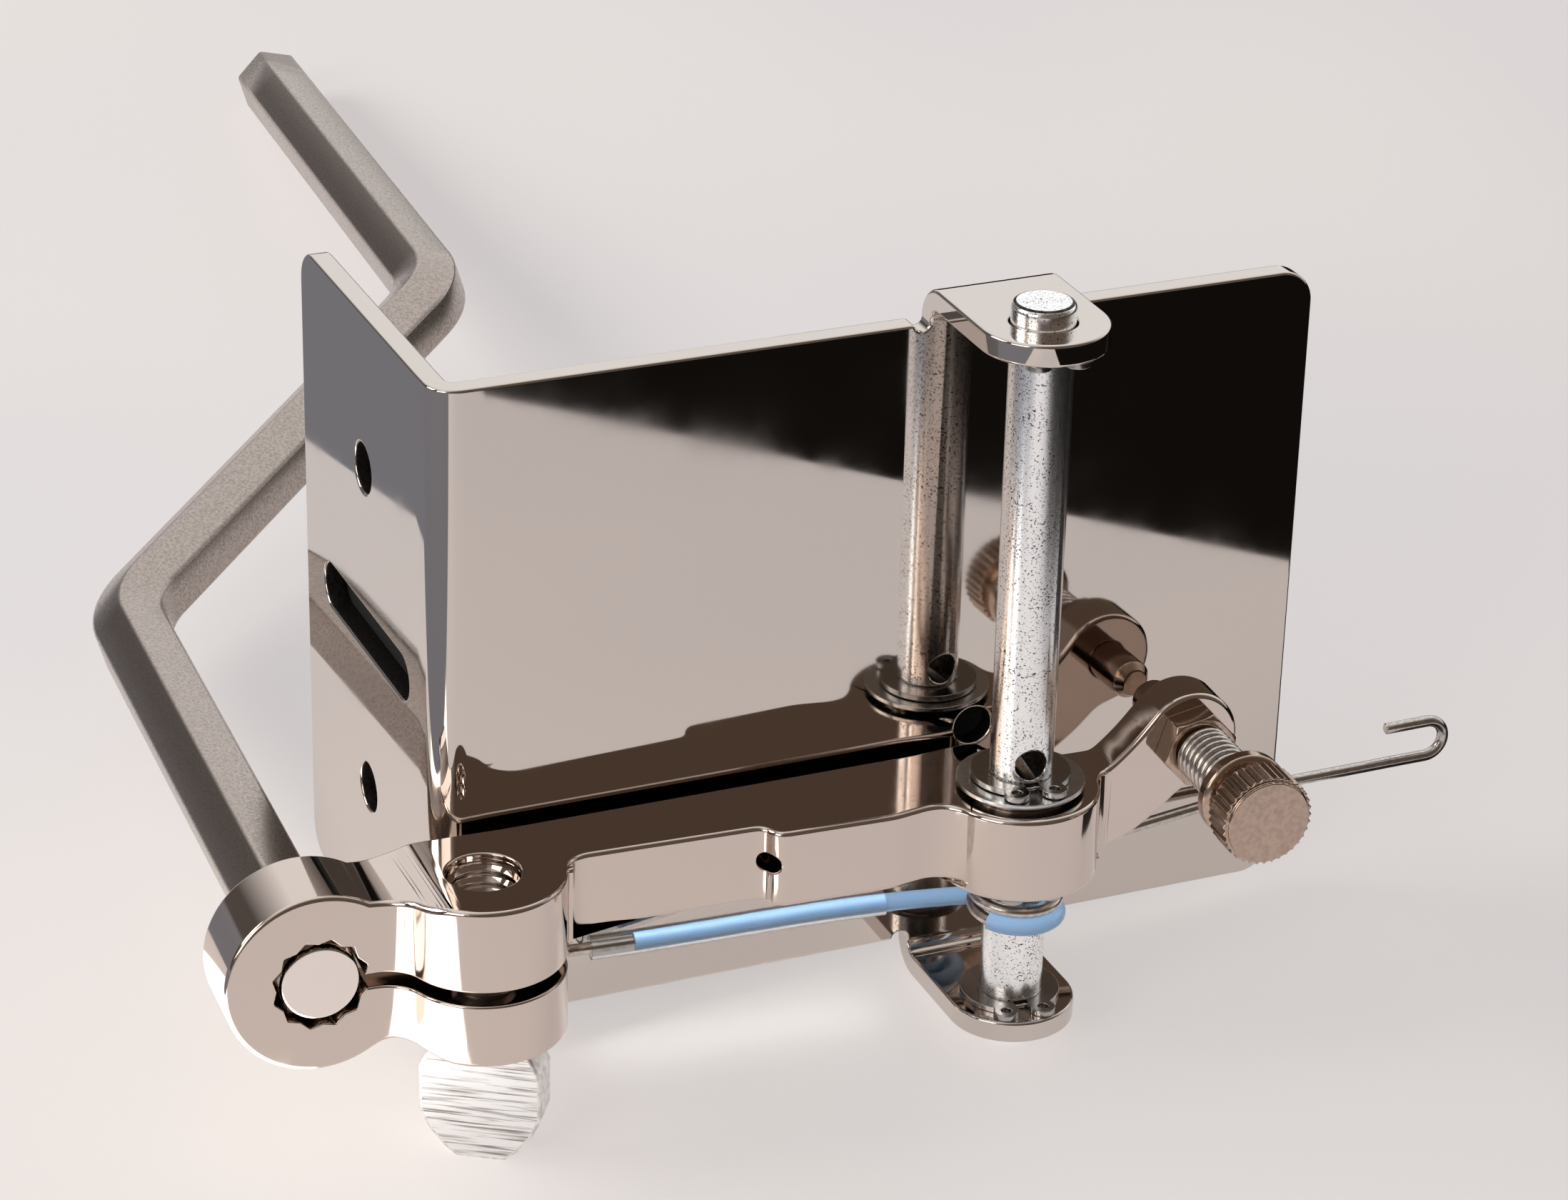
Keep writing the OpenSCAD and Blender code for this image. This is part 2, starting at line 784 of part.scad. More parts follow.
// Carries one side direction along the path without twisting it
function sides_of(t, first) = [
  for (i = 0, n = first; i < len(t);
       i = i + 1,
       n = i < len(t) ? unit(n - (n * t[i]) * t[i]) : n)
    n
];

function tube_points(p, r, sides, first) =
  let (t = headings(p), n = sides_of(t, unit(first - (first * t[0]) * t[0])))
    [
      for (i = [0:len(p) - 1], j = [0:sides - 1])
        let (a = 360 * j / sides, ri = is_list(r) ? r[i] : r)
          p[i] + ri * (cos(a) * n[i] + sin(a) * cross(t[i], n[i]))
    ];

// Triangles between ring i and ring i + 1 of a skin that starts at point b
function skin_faces(b, rings, sides, outward) = [
  for (i = [0:rings - 2], j = [0:sides - 1], half = [0, 1])
    let (k = (j + 1) % sides,
         p00 = b + i * sides + j, p01 = b + i * sides + k,
         p10 = p00 + sides, p11 = p01 + sides)
      outward ? (half == 0 ? [p00, p10, p01] : [p01, p10, p11])
              : (half == 0 ? [p00, p01, p10] : [p01, p11, p10])
];

function cap_faces(b, sides, facing) = [
  for (j = [1:sides - 2])
    facing ? [b, b + j, b + j + 1] : [b, b + j + 1, b + j]
];

module solid_tube(p, r, sides, first) {
  n = len(p);
  polyhedron(
    points = tube_points(p, r, sides, first),
    faces = concat(
      skin_faces(0, n, sides, true),
      cap_faces(0, sides, true),
      cap_faces((n - 1) * sides, sides, false)
    )
  );
}

module hollow_tube(p, r_out, r_in, sides, first) {
  n = len(p);
  m = n * sides;
  last = (n - 1) * sides;
  polyhedron(
    points = concat(
      tube_points(p, r_out, sides, first),
      tube_points(p, r_in, sides, first)
    ),
    faces = concat(
      skin_faces(0, n, sides, true),
      skin_faces(m, n, sides, false),
      [
        for (j = [0:sides - 1], half = [0, 1])
          let (k = (j + 1) % sides)
            half == 0 ? [j, k, m + j] : [k, m + k, m + j]
      ],
      [
        for (j = [0:sides - 1], half = [0, 1])
          let (k = (j + 1) % sides)
            half == 0 ? [last + j, m + last + j, last + k]
                      : [last + k, m + last + j, m + last + k]
      ]
    )
  );
}

// Least distance between parts of a tube that lie over half a turn apart
function least_gap(p, d, apart) = min([
  for (i = [0:len(p) - 1])
    for (j = [i + apart:1:len(p) - 1])
      norm(p[j] - p[i]) - d
]);

// Spring round the stop screw

stop_mean_r = stop_d / 2 + 0.24 + stop_wire_d;
stop_rings = 8;

function stop_spring_path() =
  let (n = stop_curls * stop_rings, lift = stop_spring_l - 2 * stop_wire_d, r = stop_mean_r)
    concat(
      [[r, 0, 0]],
      [
        for (i = [0:n])
          let (a = 360 * i / stop_rings)
            [r * cos(a), r * sin(a), stop_wire_d + lift * i / n]
      ],
      [[r, 0, stop_spring_l]]
    );

module stop_spring() {
  path = stop_spring_path();
  echo(stop_spring_least_gap = least_gap(path, stop_wire_d, stop_rings - 2));
  color("#c8c8c8")
    on_lever()
      translate([stop_x, nut_front, stop_z])
        rotate([90, 0, 0])
          solid_tube(path, stop_wire_d / 2, 6, [1, 0, 0]);
}

// Return spring: tail in the lever, coil round the shaft, leg on the face plate

coil_r = shaft_r + coil_gap;
// The tail stands clear of the ring under the lever
tail_r = groove_r + ring_band + 0.45 + wire_d / 2;
tail_turn = 30;
tail_l = 4.5;
tail_slack = 0.42;
tail_run = sqrt(tail_r * tail_r - coil_r * coil_r);
coil_start = tail_turn + atan(tail_run / coil_r);
coil_end = 90 + 720;
coil_high = coil_low + coil_pitch * (coil_end - coil_start) / 360;
leg_y = outer_sleeve_d / 2 + 0.15;

function coil_point(a) =
  [coil_r * cos(a), coil_r * sin(a), coil_low + coil_pitch * (coil_end - a) / 360];

// Tail and its bend into the coil
function tail_path() =
  let (foot = [tail_r * cos(tail_turn), tail_r * sin(tail_turn), 0],
       way = [-sin(coil_start), cos(coil_start), 0],
       b = 1.3)
    [
      foot + [0, 0, boss_bottom + tail_l - 1],
      foot + [0, 0, boss_bottom + 1],
      foot + [0, 0, coil_high + b],
      foot + way * b * 0.13 + [0, 0, coil_high + b * 0.5],
      foot + way * b * 0.5 + [0, 0, coil_high + b * 0.13],
      foot + way * b + [0, 0, coil_high]
    ];

// The coil's points, counted back from its lower end, so that wire and
// sleeve share them
function coil_path(from) =
  let (step = 360 / coil_rings, n = floor((coil_end - from) / step))
    concat(
      (coil_end - from) % step > 8 ? [coil_point(from)] : [],
      [for (i = [n:-1:0]) coil_point(coil_end - i * step)]
    );

// Leg, from the back of the coil to its end on the face plate, with its
// points at these shares of its length
leg_steps = [0.07, 0.15, 0.27, 0.41, 0.55, 0.7, 0.85, 0.95, 1];

function leg_path(from, to) =
  let (y0 = coil_r, y1 = pivot_y - leg_y, l = pivot_x - leg_end_x)
    [
      for (s = leg_steps)
        if (s >= from && s <= to)
          [-s * l, y0 + (y1 - y0) * pow(s, 1.15), coil_low + 6 * s * pow(1 - s, 2) - 0.5 * s]
    ];

// The spring's path keeps to the bracket, so it doesn't turn with the lever
function return_spring_path() =
  concat(tail_path(), coil_path(coil_start), leg_path(0, 1));

module return_spring() {
  path = return_spring_path();
  echo(return_spring_least_gap = least_gap(path, wire_d, coil_rings - 2));
  color("#c8c8c8")
    placed()
      translate([pivot_x, -pivot_y, 0])
        solid_tube(path, wire_d / 2, 6, [1, 0.2, 0]);
}

// The tight sleeve starts on the front of the lower turn and runs down the
// leg; it and the loose sleeve end at points of the leg's path
sleeve_start = coil_end - 180;
blue_end = 0.85;
clear_start = 0.27;
clear_end = 0.95;
sleeve_fit = 0.02;
sleeve_sides = 8;

// Corner radius of a bore whose flats clear what it covers
function sleeve_bore(d, fit) = (d / 2 + fit) / cos(180 / sleeve_sides);

module blue_sleeve() {
  path = concat(coil_path(sleeve_start), leg_path(0, blue_end));
  bore = sleeve_bore(wire_d, sleeve_fit);
  color("#86b9dd")
    placed()
      translate([pivot_x, -pivot_y, 0])
        hollow_tube(path, inner_sleeve_d / 2, bore, sleeve_sides, [0, 0, 1]);
}

module clear_sleeve() {
  path = leg_path(clear_start, clear_end);
  bore = sleeve_bore(inner_sleeve_d, 2 * sleeve_fit);
  color("#d6dde0")
    placed()
      translate([pivot_x, -pivot_y, 0])
        hollow_tube(path, outer_sleeve_d / 2, bore, sleeve_sides, [0, 0, 1]);
}

// String hook: pin in the lever, long wire, and an open hook at its end
hook_pin_gap = 0.05;
hook_pin_l = 5;
hook_low = coil_low + 0.6;
hook_turns = 12;

// Points relative to the foot of the pin
function hook_path() =
  let (end = hook_reach - hook_d / 2 - pivot_x + hook_pin_x,
       r = hook_mouth / 2,
       y1 = pivot_y - hook_pin_y - hook_y,
       bend = 1.8,
       plate_end = plate_w - pivot_x + hook_pin_x,
       rise = 2.5)
    concat(
      [[0, 0, bend + 0.6]],
      [
        for (a = [0:22.5:90])
          [bend * (1 - cos(a)), 0, bend * (1 - sin(a))]
      ],
      [
        for (s = [0.2, 0.45, 0.7])
          [s * plate_end, s * y1, rise * s]
      ],
      [[plate_end, y1, rise * 0.97], [end - r - 3, y1, rise]],
      [
        for (i = [0:hook_turns])
          let (a = -90 + 180 * i / hook_turns)
            [end - r + r * cos(a), y1, rise + r + r * sin(a)]
      ],
      [[end - r - hook_tip_l, y1, rise + 2 * r]]
    );

module string_hook() {
  foot = [-hook_pin_x * cos(lever_turn) - hook_pin_y * sin(lever_turn),
          -hook_pin_x * sin(lever_turn) + hook_pin_y * cos(lever_turn), hook_low];
  color("#cfcfcf")
    placed()
      translate([pivot_x, -pivot_y, 0])
        translate(foot) {
          solid_tube(hook_path(), hook_d / 2 - 0.01, 12, [0, 1, 0]);
          translate([0, 0, 2.2])
            cylinder(r = hook_d / 2, h = arm_bottom + hook_pin_l - hook_low - 2.2);
        }
}

mounting_bracket();
pivot_shaft();
upper_ear_ring();
lower_ear_ring();
lever_top_ring();
lever_under_ring();
hip_lever();
bushing_upper();
bushing_lower();
lever_washer();
clamp_thumb_screw();
hip_rod();
stop_screw();
stop_nut();
stop_spring();
return_spring();
blue_sleeve();
clear_sleeve();
string_hook();
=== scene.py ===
# %% [markdown]
# A hip-operated string bender for a guitar, dressed for a close-up picture.
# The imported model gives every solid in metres, and this lesson puts rounded
# edges, threads, wire, tubing and finishes on it. The solids could be drawn
# again from nothing, but loading them comes first, because every piece below
# takes its place, its body and its slot from them.

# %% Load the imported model
import json
import math

import bmesh
import bpy
from mathutils import Matrix, Vector

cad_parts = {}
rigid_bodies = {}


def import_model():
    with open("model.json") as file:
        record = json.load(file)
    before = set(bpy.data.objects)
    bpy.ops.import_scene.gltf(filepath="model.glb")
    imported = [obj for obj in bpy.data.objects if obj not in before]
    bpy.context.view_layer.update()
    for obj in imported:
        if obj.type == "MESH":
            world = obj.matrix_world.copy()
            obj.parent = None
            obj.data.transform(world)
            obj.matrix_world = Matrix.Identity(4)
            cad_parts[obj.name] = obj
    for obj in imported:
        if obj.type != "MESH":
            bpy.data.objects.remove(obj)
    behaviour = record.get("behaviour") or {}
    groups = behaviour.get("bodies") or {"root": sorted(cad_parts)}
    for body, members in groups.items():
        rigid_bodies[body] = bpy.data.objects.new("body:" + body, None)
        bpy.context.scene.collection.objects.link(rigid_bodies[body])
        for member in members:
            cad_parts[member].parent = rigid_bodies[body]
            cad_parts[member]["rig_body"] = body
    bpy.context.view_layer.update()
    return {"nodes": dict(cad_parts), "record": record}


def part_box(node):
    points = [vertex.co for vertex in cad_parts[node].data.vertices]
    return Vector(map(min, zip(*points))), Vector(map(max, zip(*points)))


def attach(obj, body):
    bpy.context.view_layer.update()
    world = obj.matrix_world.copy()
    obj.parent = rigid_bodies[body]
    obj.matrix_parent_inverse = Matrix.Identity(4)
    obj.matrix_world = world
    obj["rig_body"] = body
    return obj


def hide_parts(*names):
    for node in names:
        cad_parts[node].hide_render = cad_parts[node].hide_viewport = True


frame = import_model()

MM = 0.001

# %% [markdown]
# The picture was taken from the front left, a little above the bracket, with
# a long lens. A camera can be aimed by eye or fitted. Here the fit to the
# plate's corners gave its place and its right and up directions, and these
# are the camera's axes. The frame is 2196 by 1680 pixels.

# %% Camera
FILM_WIDTH = 36


def camera_at(place, right, up, lens):
    """A camera from its place in metres, its two picture axes and its lens in mm."""
    right, up = Vector(right).normalized(), Vector(up).normalized()
    back = right.cross(up)
    data = bpy.data.cameras.new("view_camera")
    data.lens, data.sensor_width = lens, FILM_WIDTH
    data.clip_start, data.clip_end = 0.01, 20
    camera = bpy.data.objects.new("view_camera", data)
    axes = Matrix((right, up, back)).transposed().to_4x4()
    camera.matrix_world = Matrix.Translation(place) @ axes
    bpy.context.scene.collection.objects.link(camera)
    bpy.context.scene.camera = camera
    return camera


camera = camera_at(
    place=(-0.12824, -0.39648, 0.20472),
    right=(0.92001786, -0.39123662, 0.0223838),
    up=(0.15168382, 0.40819747, 0.90020378),
    lens=106.51,
)
bpy.context.scene.view_settings.view_transform = "Standard"
print("camera at", tuple(round(v, 3) for v in camera.location))

# %% [markdown]
# Colours are written as on a colour chart, in sRGB hex. Blender's shaders
# count in linear light, so one function turns them. One more small function
# adds a node to a material with its settings and links, and each material
# reads its place in millimetres, so that a pattern's size is a real size.

# %% Helpers for colours and nodes
def linear(code):
    """An sRGB hex colour in linear light, with its alpha."""
    channels = [int(code[i:i + 2], 16) / 255 for i in (1, 3, 5)]
    light = [c / 12.92 if c <= 0.04045 else ((c + 0.055) / 1.055) ** 2.4 for c in channels]
    return (*light, 1)


def add(tree, kind, settings, links=None):
    """A shader node with its settings and links. "stops" fills a colour ramp."""
    node = tree.nodes.new("ShaderNode" + kind)
    for name, value in settings.items():
        if name == "stops":
            for stop, (place, colour) in zip(node.color_ramp.elements, value):
                stop.position, stop.color = place, linear(colour)
        elif isinstance(name, int) or name in node.inputs:
            node.inputs[name].default_value = value
        else:
            setattr(node, name, value)
    for name, socket in (links or {}).items():
        tree.links.new(socket, node.inputs[name])
    return node


def new_finish(name, colour, metallic, roughness):
    """A material, its node tree, its shader and the place on the piece in mm."""
    finish = bpy.data.materials.new(name)
    finish.use_nodes = True
    finish.diffuse_color = linear(colour)
    tree = finish.node_tree
    shader = tree.nodes["Principled BSDF"]
    shader.inputs["Base Color"].default_value = linear(colour)
    shader.inputs["Metallic"].default_value = metallic
    shader.inputs["Roughness"].default_value = roughness
    place = add(tree, "TexCoord", {})
    in_mm = add(tree, "VectorMath", {"operation": "SCALE", "Scale": 1 / MM},
                {0: place.outputs["Object"]})
    return finish, tree, shader, in_mm.outputs[0]


print("linear mid grey:", round(linear("#808080")[0], 3))

# %% [markdown]
# The object lies on a pale matt table top. It rests on the thumb screw, the
# foot of the shaft and the far end of the rod, so the table is the plane
# through these three points, and it leans by nine degrees against the
# bracket. A plane could be turned to fit. Here its corners are worked out
# from the three points, and soft mottling and fine grain are enough for it.

# %% Floor
REST_POINTS = [
    Vector((1.0, -32.4, -42.95)) * MM,
    Vector((57.3, -30.4, -39.85)) * MM,
    Vector((45.0, 176.2, -9.65)) * MM,
]
TABLE_REACH = 2500
along, across = REST_POINTS[1] - REST_POINTS[0], REST_POINTS[2] - REST_POINTS[0]
floor_up = along.cross(across).normalized()


def floor_height(x, y):
    """Height of the table's surface at a place, all in metres."""
    a = REST_POINTS[0]
    return a.z - ((x - a.x) * floor_up.x + (y - a.y) * floor_up.y) / floor_up.z


def sheet_on_floor(name, corners, lift):
    """A flat sheet over the table. Corners and lift are in mm."""
    mesh = bpy.data.meshes.new(name)
    points = [
        (x * MM, y * MM, floor_height(x * MM, y * MM) + lift * MM) for x, y in corners
    ]
    mesh.from_pydata(points, [], [list(range(len(points)))])
    sheet = bpy.data.objects.new(name, mesh)
    bpy.context.scene.collection.objects.link(sheet)
    return sheet


# A matt laminate without gloss, with clouds of 160 mm and a grain of 1.2 mm.
table_finish, tree, shader, mm = new_finish("matt_table_laminate", "#dbd6d4", 0, 0.38)
shader.inputs["Specular IOR Level"].default_value = 0
mottle = add(tree, "TexNoise", {"Scale": 1 / 160, "Detail": 1}, {"Vector": mm})
tint = add(tree, "ValToRGB", {"stops": [(0.3, "#d8d5d6"), (0.7, "#e0dbd8")]},
           {"Fac": mottle.outputs["Fac"]})
tree.links.new(tint.outputs["Color"], shader.inputs["Base Color"])
grain = add(tree, "TexNoise", {"Scale": 1 / 1.2, "Detail": 3}, {"Vector": mm})
bump = add(tree, "Bump", {"Strength": 0.25, "Distance": 0.05 * MM},
           {"Height": grain.outputs["Fac"]})
tree.links.new(bump.outputs["Normal"], shader.inputs["Normal"])

low, high = -TABLE_REACH, TABLE_REACH
floor = sheet_on_floor("table_top", [(low, low), (high, low), (high, high), (low, high)], 0)
floor.data.materials.append(table_finish)
print("table leans by", round(math.degrees(math.acos(floor_up.z)), 1), "degrees")

# %% [markdown]
# Polished metal shows the room. The plate shows the table up to its front
# edge, and black beyond it. The flange shows the grey floor beyond the
# table's left edge, the round parts show the window's glare on the table,
# and what faces right shows a dark room. The room could be modelled. Here
# cards just above the table, which only reflections see, stand for it, and
# the table itself stays pale.

# %% Cards for the reflections
CARD_HALF, CARD_DEPTH = 1500, 2000


def reflected_card(name, corners, colour, lift, glow=0):
    """A sheet above the table that only polished metal sees."""
    card = sheet_on_floor(name, corners, lift)
    finish, _, shader, _ = new_finish(name + "_finish", colour, 0, 0.9)
    shader.inputs["Specular IOR Level"].default_value = 0
    shader.inputs["Emission Color"].default_value = linear(colour)
    shader.inputs["Emission Strength"].default_value = glow
    card.data.materials.append(finish)
    card.visible_camera = card.visible_diffuse = False
    card.visible_shadow = card.visible_transmission = False


def room_beyond(name, edge_start, edge_end, away, colour):
    """A card that starts at a straight edge through two points and goes on."""
    start, end = Vector(edge_start), Vector(edge_end)
    run, far = (end - start).normalized() * CARD_HALF, Vector(away) * CARD_DEPTH
    corners = [start - run, start + run, start + run + far, start - run + far]
    reflected_card(name, corners, colour, 0.4)


room_beyond("front_room_card", (87.4, -246.0), (146.4, -111.8), (0.92, -0.4), "#141210")
room_beyond("left_room_card", (-33, 78.6), (20, 216.6), (-0.93, 0.36), "#7c7e86")
glare = [(-13, -60), (-13, 4), (-260, 100), (-260, -140)]
reflected_card("window_glare", glare, "#fffdfa", 0.3, 1.2)
right_side = [(106, -50), (900, -50), (900, 900), (106, 900)]
reflected_card("right_room", right_side, "#2c2725", 0.35)
print("cards set")

# %% [markdown]
# The light is a pale room with a window on the left. The world lights all
# sides evenly, but polished metal sees a room that fades from white at the
# back to brown in front and grey on the left. A sun without shadows keeps the
# table as bright behind the bracket as beside it. Two lamps of a window's
# size give the soft shadows.

# %% Light
world = bpy.data.worlds.new("soft_room")
bpy.context.scene.world = world
world.use_nodes = True
tree = world.node_tree
sky_place = add(tree, "TexCoord", {}).outputs["Generated"]
forward = add(tree, "VectorMath", {"operation": "DOT_PRODUCT", 1: (0.25, -0.95, 0.15)},
              {0: sky_place})
front = add(tree, "ValToRGB", {"stops": [(0.1, "#ffffff"), (0.7, "#65594f")]},
            {"Fac": forward.outputs["Value"]})
leftward = add(tree, "VectorMath", {"operation": "DOT_PRODUCT", 1: (-0.9, 0.35, -0.2)},
               {0: sky_place})
corner = add(tree, "ValToRGB", {"stops": [(0.2, "#ffffff"), (0.6, "#5b5653")]},
             {"Fac": leftward.outputs["Value"]})
room = add(tree, "Mix", {"data_type": "RGBA", "blend_type": "MULTIPLY", 0: 1.0},
           {6: front.outputs["Color"], 7: corner.outputs["Color"]})
ray = add(tree, "LightPath", {})
mixed = add(tree, "Mix", {"data_type": "RGBA", 6: linear("#7c7a7b")},
            {0: ray.outputs["Is Glossy Ray"], 7: room.outputs[2]})
tree.links.new(mixed.outputs[2], tree.nodes["Background"].inputs["Color"])
tree.nodes["Background"].inputs["Strength"].default_value = 1.0


def soft_lamp(name, place, aim, width, height, power):
    """A lamp like a window, in metres and watts."""
    data = bpy.data.lights.new(name, "AREA")
    data.shape, data.size, data.size_y = "RECTANGLE", width, height
    data.energy, data.color = power, linear("#fffaf4")[:3]
    lamp = bpy.data.objects.new(name, data)
    lamp.location = place
    lamp.rotation_euler = (Vector(aim) - lamp.location).to_track_quat("-Z", "Y").to_euler()
    bpy.context.scene.collection.objects.link(lamp)


sun_data = bpy.data.lights.new("even_light", "SUN")
sun_data.energy, sun_data.use_shadow = 2.05, False
sun = bpy.data.objects.new("even_light", sun_data)
sun.rotation_euler = floor_up.to_track_quat("Z", "Y").to_euler()
sun.visible_glossy = False
bpy.context.scene.collection.objects.link(sun)
soft_lamp("window_left", (-0.98, 0.35, 0.62), (0.04, 0, 0), 0.6, 0.5, 5.0)
soft_lamp("low_window", (-0.75, -0.42, 0.3), (0.04, -0.03, 0), 0.5, 0.5, 1.6)
print("lamps:", len(bpy.data.lights))

# %% [markdown]
# Most of the object is nickel plate over polished steel: a warm mirror. It
# could be one plain metal, but a real plate shows the soft waves of the
# sheet or casting under it and patches of haze. So both get waves of a real
# size in their normals, and haze in their roughness.

# %% Mirror finishes
HAZE_SIZE = 9
FINISH = {}


def waves(tree, mm, size, height):
    """A normal with soft waves of a size and a height in millimetres."""
    noise = add(tree, "TexNoise", {"Scale": 1 / size, "Detail": 2}, {"Vector": mm})
    return add(tree, "Bump", {"Strength": 1.0, "Distance": height * MM},
               {"Height": noise.outputs["Fac"]})


def mirror_nickel(name, colour, rough, wave_size, wave_height):
    """Polished nickel plate, with waves and haze."""
    finish, tree, shader, mm = new_finish(name, colour, 1, rough)
    normal = waves(tree, mm, wave_size, wave_height)
    tree.links.new(normal.outputs["Normal"], shader.inputs["Normal"])
    haze = add(tree, "TexNoise", {"Scale": 1 / HAZE_SIZE, "Detail": 4}, {"Vector": mm})
    limits = {"From Min": 0.3, "From Max": 0.7, "To Min": rough * 0.5, "To Max": rough * 1.8}
    gloss = add(tree, "MapRange", limits, {"Value": haze.outputs["Fac"]})
    tree.links.new(gloss.outputs["Result"], shader.inputs["Roughness"])
    return finish


# Rolled sheet waves slowly, the casting a little more. The rod's end was
# polished with the casting and is softer.
FINISH["nickel_sheet"] = mirror_nickel("mirror_nickel_sheet", "#d5ccc5", 0.035, 14, 0.003)
FINISH["cast_lever"] = mirror_nickel("mirror_nickel_casting", "#d6c8bf", 0.06, 6, 0.004)
FINISH["polished_end"] = mirror_nickel("polished_rod_end", "#f0e7e1", 0.12, 3, 0.004)
print("mirror finishes:", ", ".join(FINISH))

# %% [markdown]
# The other steels are satin. Turning, etching, drawing and casting leave a
# grit of a few tenths of a millimetre, which shows in colour, gloss and
# relief. The real grit is finer than a pixel of the picture, so it is drawn
# as coarse as it has to be to show.

# %% Satin finishes
def satin_steel(name, colour, rough, grit, height, dark=0.75):
    """Steel with a grit of a size and a height in millimetres."""
    finish, tree, shader, mm = new_finish(name, colour, 1, rough)
    grains = add(tree, "TexNoise", {"Scale": 1 / grit, "Detail": 3}, {"Vector": mm})
    share = add(tree, "MapRange", {"From Min": 0.35, "From Max": 0.6},
                {"Value": grains.outputs["Fac"]})
    shadow = (*[c * dark for c in linear(colour)[:3]], 1)
    shade = add(tree, "Mix", {"data_type": "RGBA", 6: shadow, 7: linear(colour)},
                {0: share.outputs["Result"]})
    tree.links.new(shade.outputs[2], shader.inputs["Base Color"])
    limits = {"From Min": 0.3, "From Max": 0.7, "To Min": rough * 1.3, "To Max": rough * 0.8}
    gloss = add(tree, "MapRange", limits, {"Value": grains.outputs["Fac"]})
    tree.links.new(gloss.outputs["Result"], shader.inputs["Roughness"])
    normal = add(tree, "Bump", {"Strength": 1.0, "Distance": height * MM},
                 {"Height": grains.outputs["Fac"]})
    tree.links.new(normal.outputs["Normal"], shader.inputs["Normal"])
    return finish


FINISH["ring_steel"] = satin_steel("phosphated_spring_steel", "#b6b2af", 0.2, 0.4, 0.001, 0.85)
# Cut, unplated walls; their dark tone also paints the shade inside the openings.
FINISH["cut_wall"] = satin_steel("cut_walls_of_the_openings", "#4a4542", 0.5, 0.5, 0.06, 0.4)
FINISH["bushing_steel"] = satin_steel("turned_bushing_steel", "#dddad6", 0.18, 0.3, 0.002)
FINISH["zinc_washer"] = satin_steel("zinc_plated_washer", "#dfe2e3", 0.22, 0.5, 0.001, 0.9)
FINISH["thumb_casting"] = satin_steel("rough_steel_casting", "#f4f1ee", 0.36, 0.7, 0.05)
FINISH["rod_steel"] = satin_steel("satin_steel_rod", "#b8aca4", 0.24, 0.3, 0.002, 0.72)
FINISH["nickel_screw"] = satin_steel("nickel_plated_brass", "#c2ab9b", 0.16, 0.5, 0.001, 0.85)
FINISH["spring_wire"] = satin_steel("drawn_spring_wire", "#d2cac4", 0.2, 0.5, 0.003)
print("finishes so far:", len(FINISH))

# %% [markdown]
# Two steels have marks of their own. The shaft was ground bright, and small
# dark pits of about 0.2 mm gather in patches of 3.5 mm. The faces of the
# thumb screw's spade were sawn: fine lines run across them, bright and dark.

# %% Pitted and sawn finishes
shaft, tree, shader, mm = new_finish("ground_steel_shaft", "#ffffff", 1, 0.22)
pits = add(tree, "TexNoise", {"Scale": 1 / 0.2, "Detail": 1}, {"Vector": mm})
patches = add(tree, "TexNoise", {"Scale": 1 / 3.5, "Detail": 2}, {"Vector": mm})
depth = add(tree, "Math", {"operation": "MULTIPLY_ADD", 1: 0.22},
            {0: patches.outputs["Fac"], 2: pits.outputs["Fac"]})
tone = add(tree, "ValToRGB", {"stops": [(0.42, "#5f5955"), (0.52, "#ffffff")]},
           {"Fac": depth.outputs["Value"]})
tree.links.new(tone.outputs["Color"], shader.inputs["Base Color"])
bump = add(tree, "Bump", {"Strength": 0.3, "Distance": 0.012 * MM},
           {"Height": depth.outputs["Value"]})
tree.links.new(bump.outputs["Normal"], shader.inputs["Normal"])
FINISH["ground_shaft"] = shaft

sawn, tree, shader, mm = new_finish("sawn_bright_steel", "#ffffff", 0.55, 0.42)
strokes = add(tree, "Mapping", {"Scale": (0.14, 0.14, 4.2)}, {"Vector": mm})
lines = add(tree, "TexNoise", {"Scale": 1, "Detail": 4}, {"Vector": strokes.outputs["Vector"]})
tone = add(tree, "ValToRGB", {"stops": [(0.34, "#9a918b"), (0.5, "#ffffff")]},
           {"Fac": lines.outputs["Fac"]})
tree.links.new(tone.outputs["Color"], shader.inputs["Base Color"])
bump = add(tree, "Bump", {"Strength": 0.8, "Distance": 0.05 * MM},
           {"Height": lines.outputs["Fac"]})
tree.links.new(bump.outputs["Normal"], shader.inputs["Normal"])
FINISH["sawn_face"] = sawn
print("shaft and sawn faces:", shaft.name, sawn.name)

# %% [markdown]
# Two plastics keep the return spring's wire off the plate: a pale blue nylon
# tube, in which the light goes a little way before it comes back, and a clear
# one that is almost only its edges. The pads behind the openings are black and
# matt, with a bump of cells of half a millimetre, and paint the shade seen there.

# %% Tubing and dark pads of painted shade
blue, tree, shader, mm = new_finish("blue_nylon_tube", "#98bde4", 0, 0.25)
shader.inputs["IOR"].default_value = 1.5
shader.inputs["Subsurface Weight"].default_value = 0.3
shader.inputs["Subsurface Scale"].default_value = 0.5 * MM
normal = waves(tree, mm, 1.5, 0.03)
tree.links.new(normal.outputs["Normal"], shader.inputs["Normal"])
FINISH["blue_plastic"] = blue

clear, tree, shader, mm = new_finish("clear_pvc_tube", "#eef1f2", 0, 0.08)
shader.inputs["IOR"].default_value = 1.5
shader.inputs["Transmission Weight"].default_value = 1
normal = waves(tree, mm, 2, 0.03)
tree.links.new(normal.outputs["Normal"], shader.inputs["Normal"])
FINISH["clear_plastic"] = clear
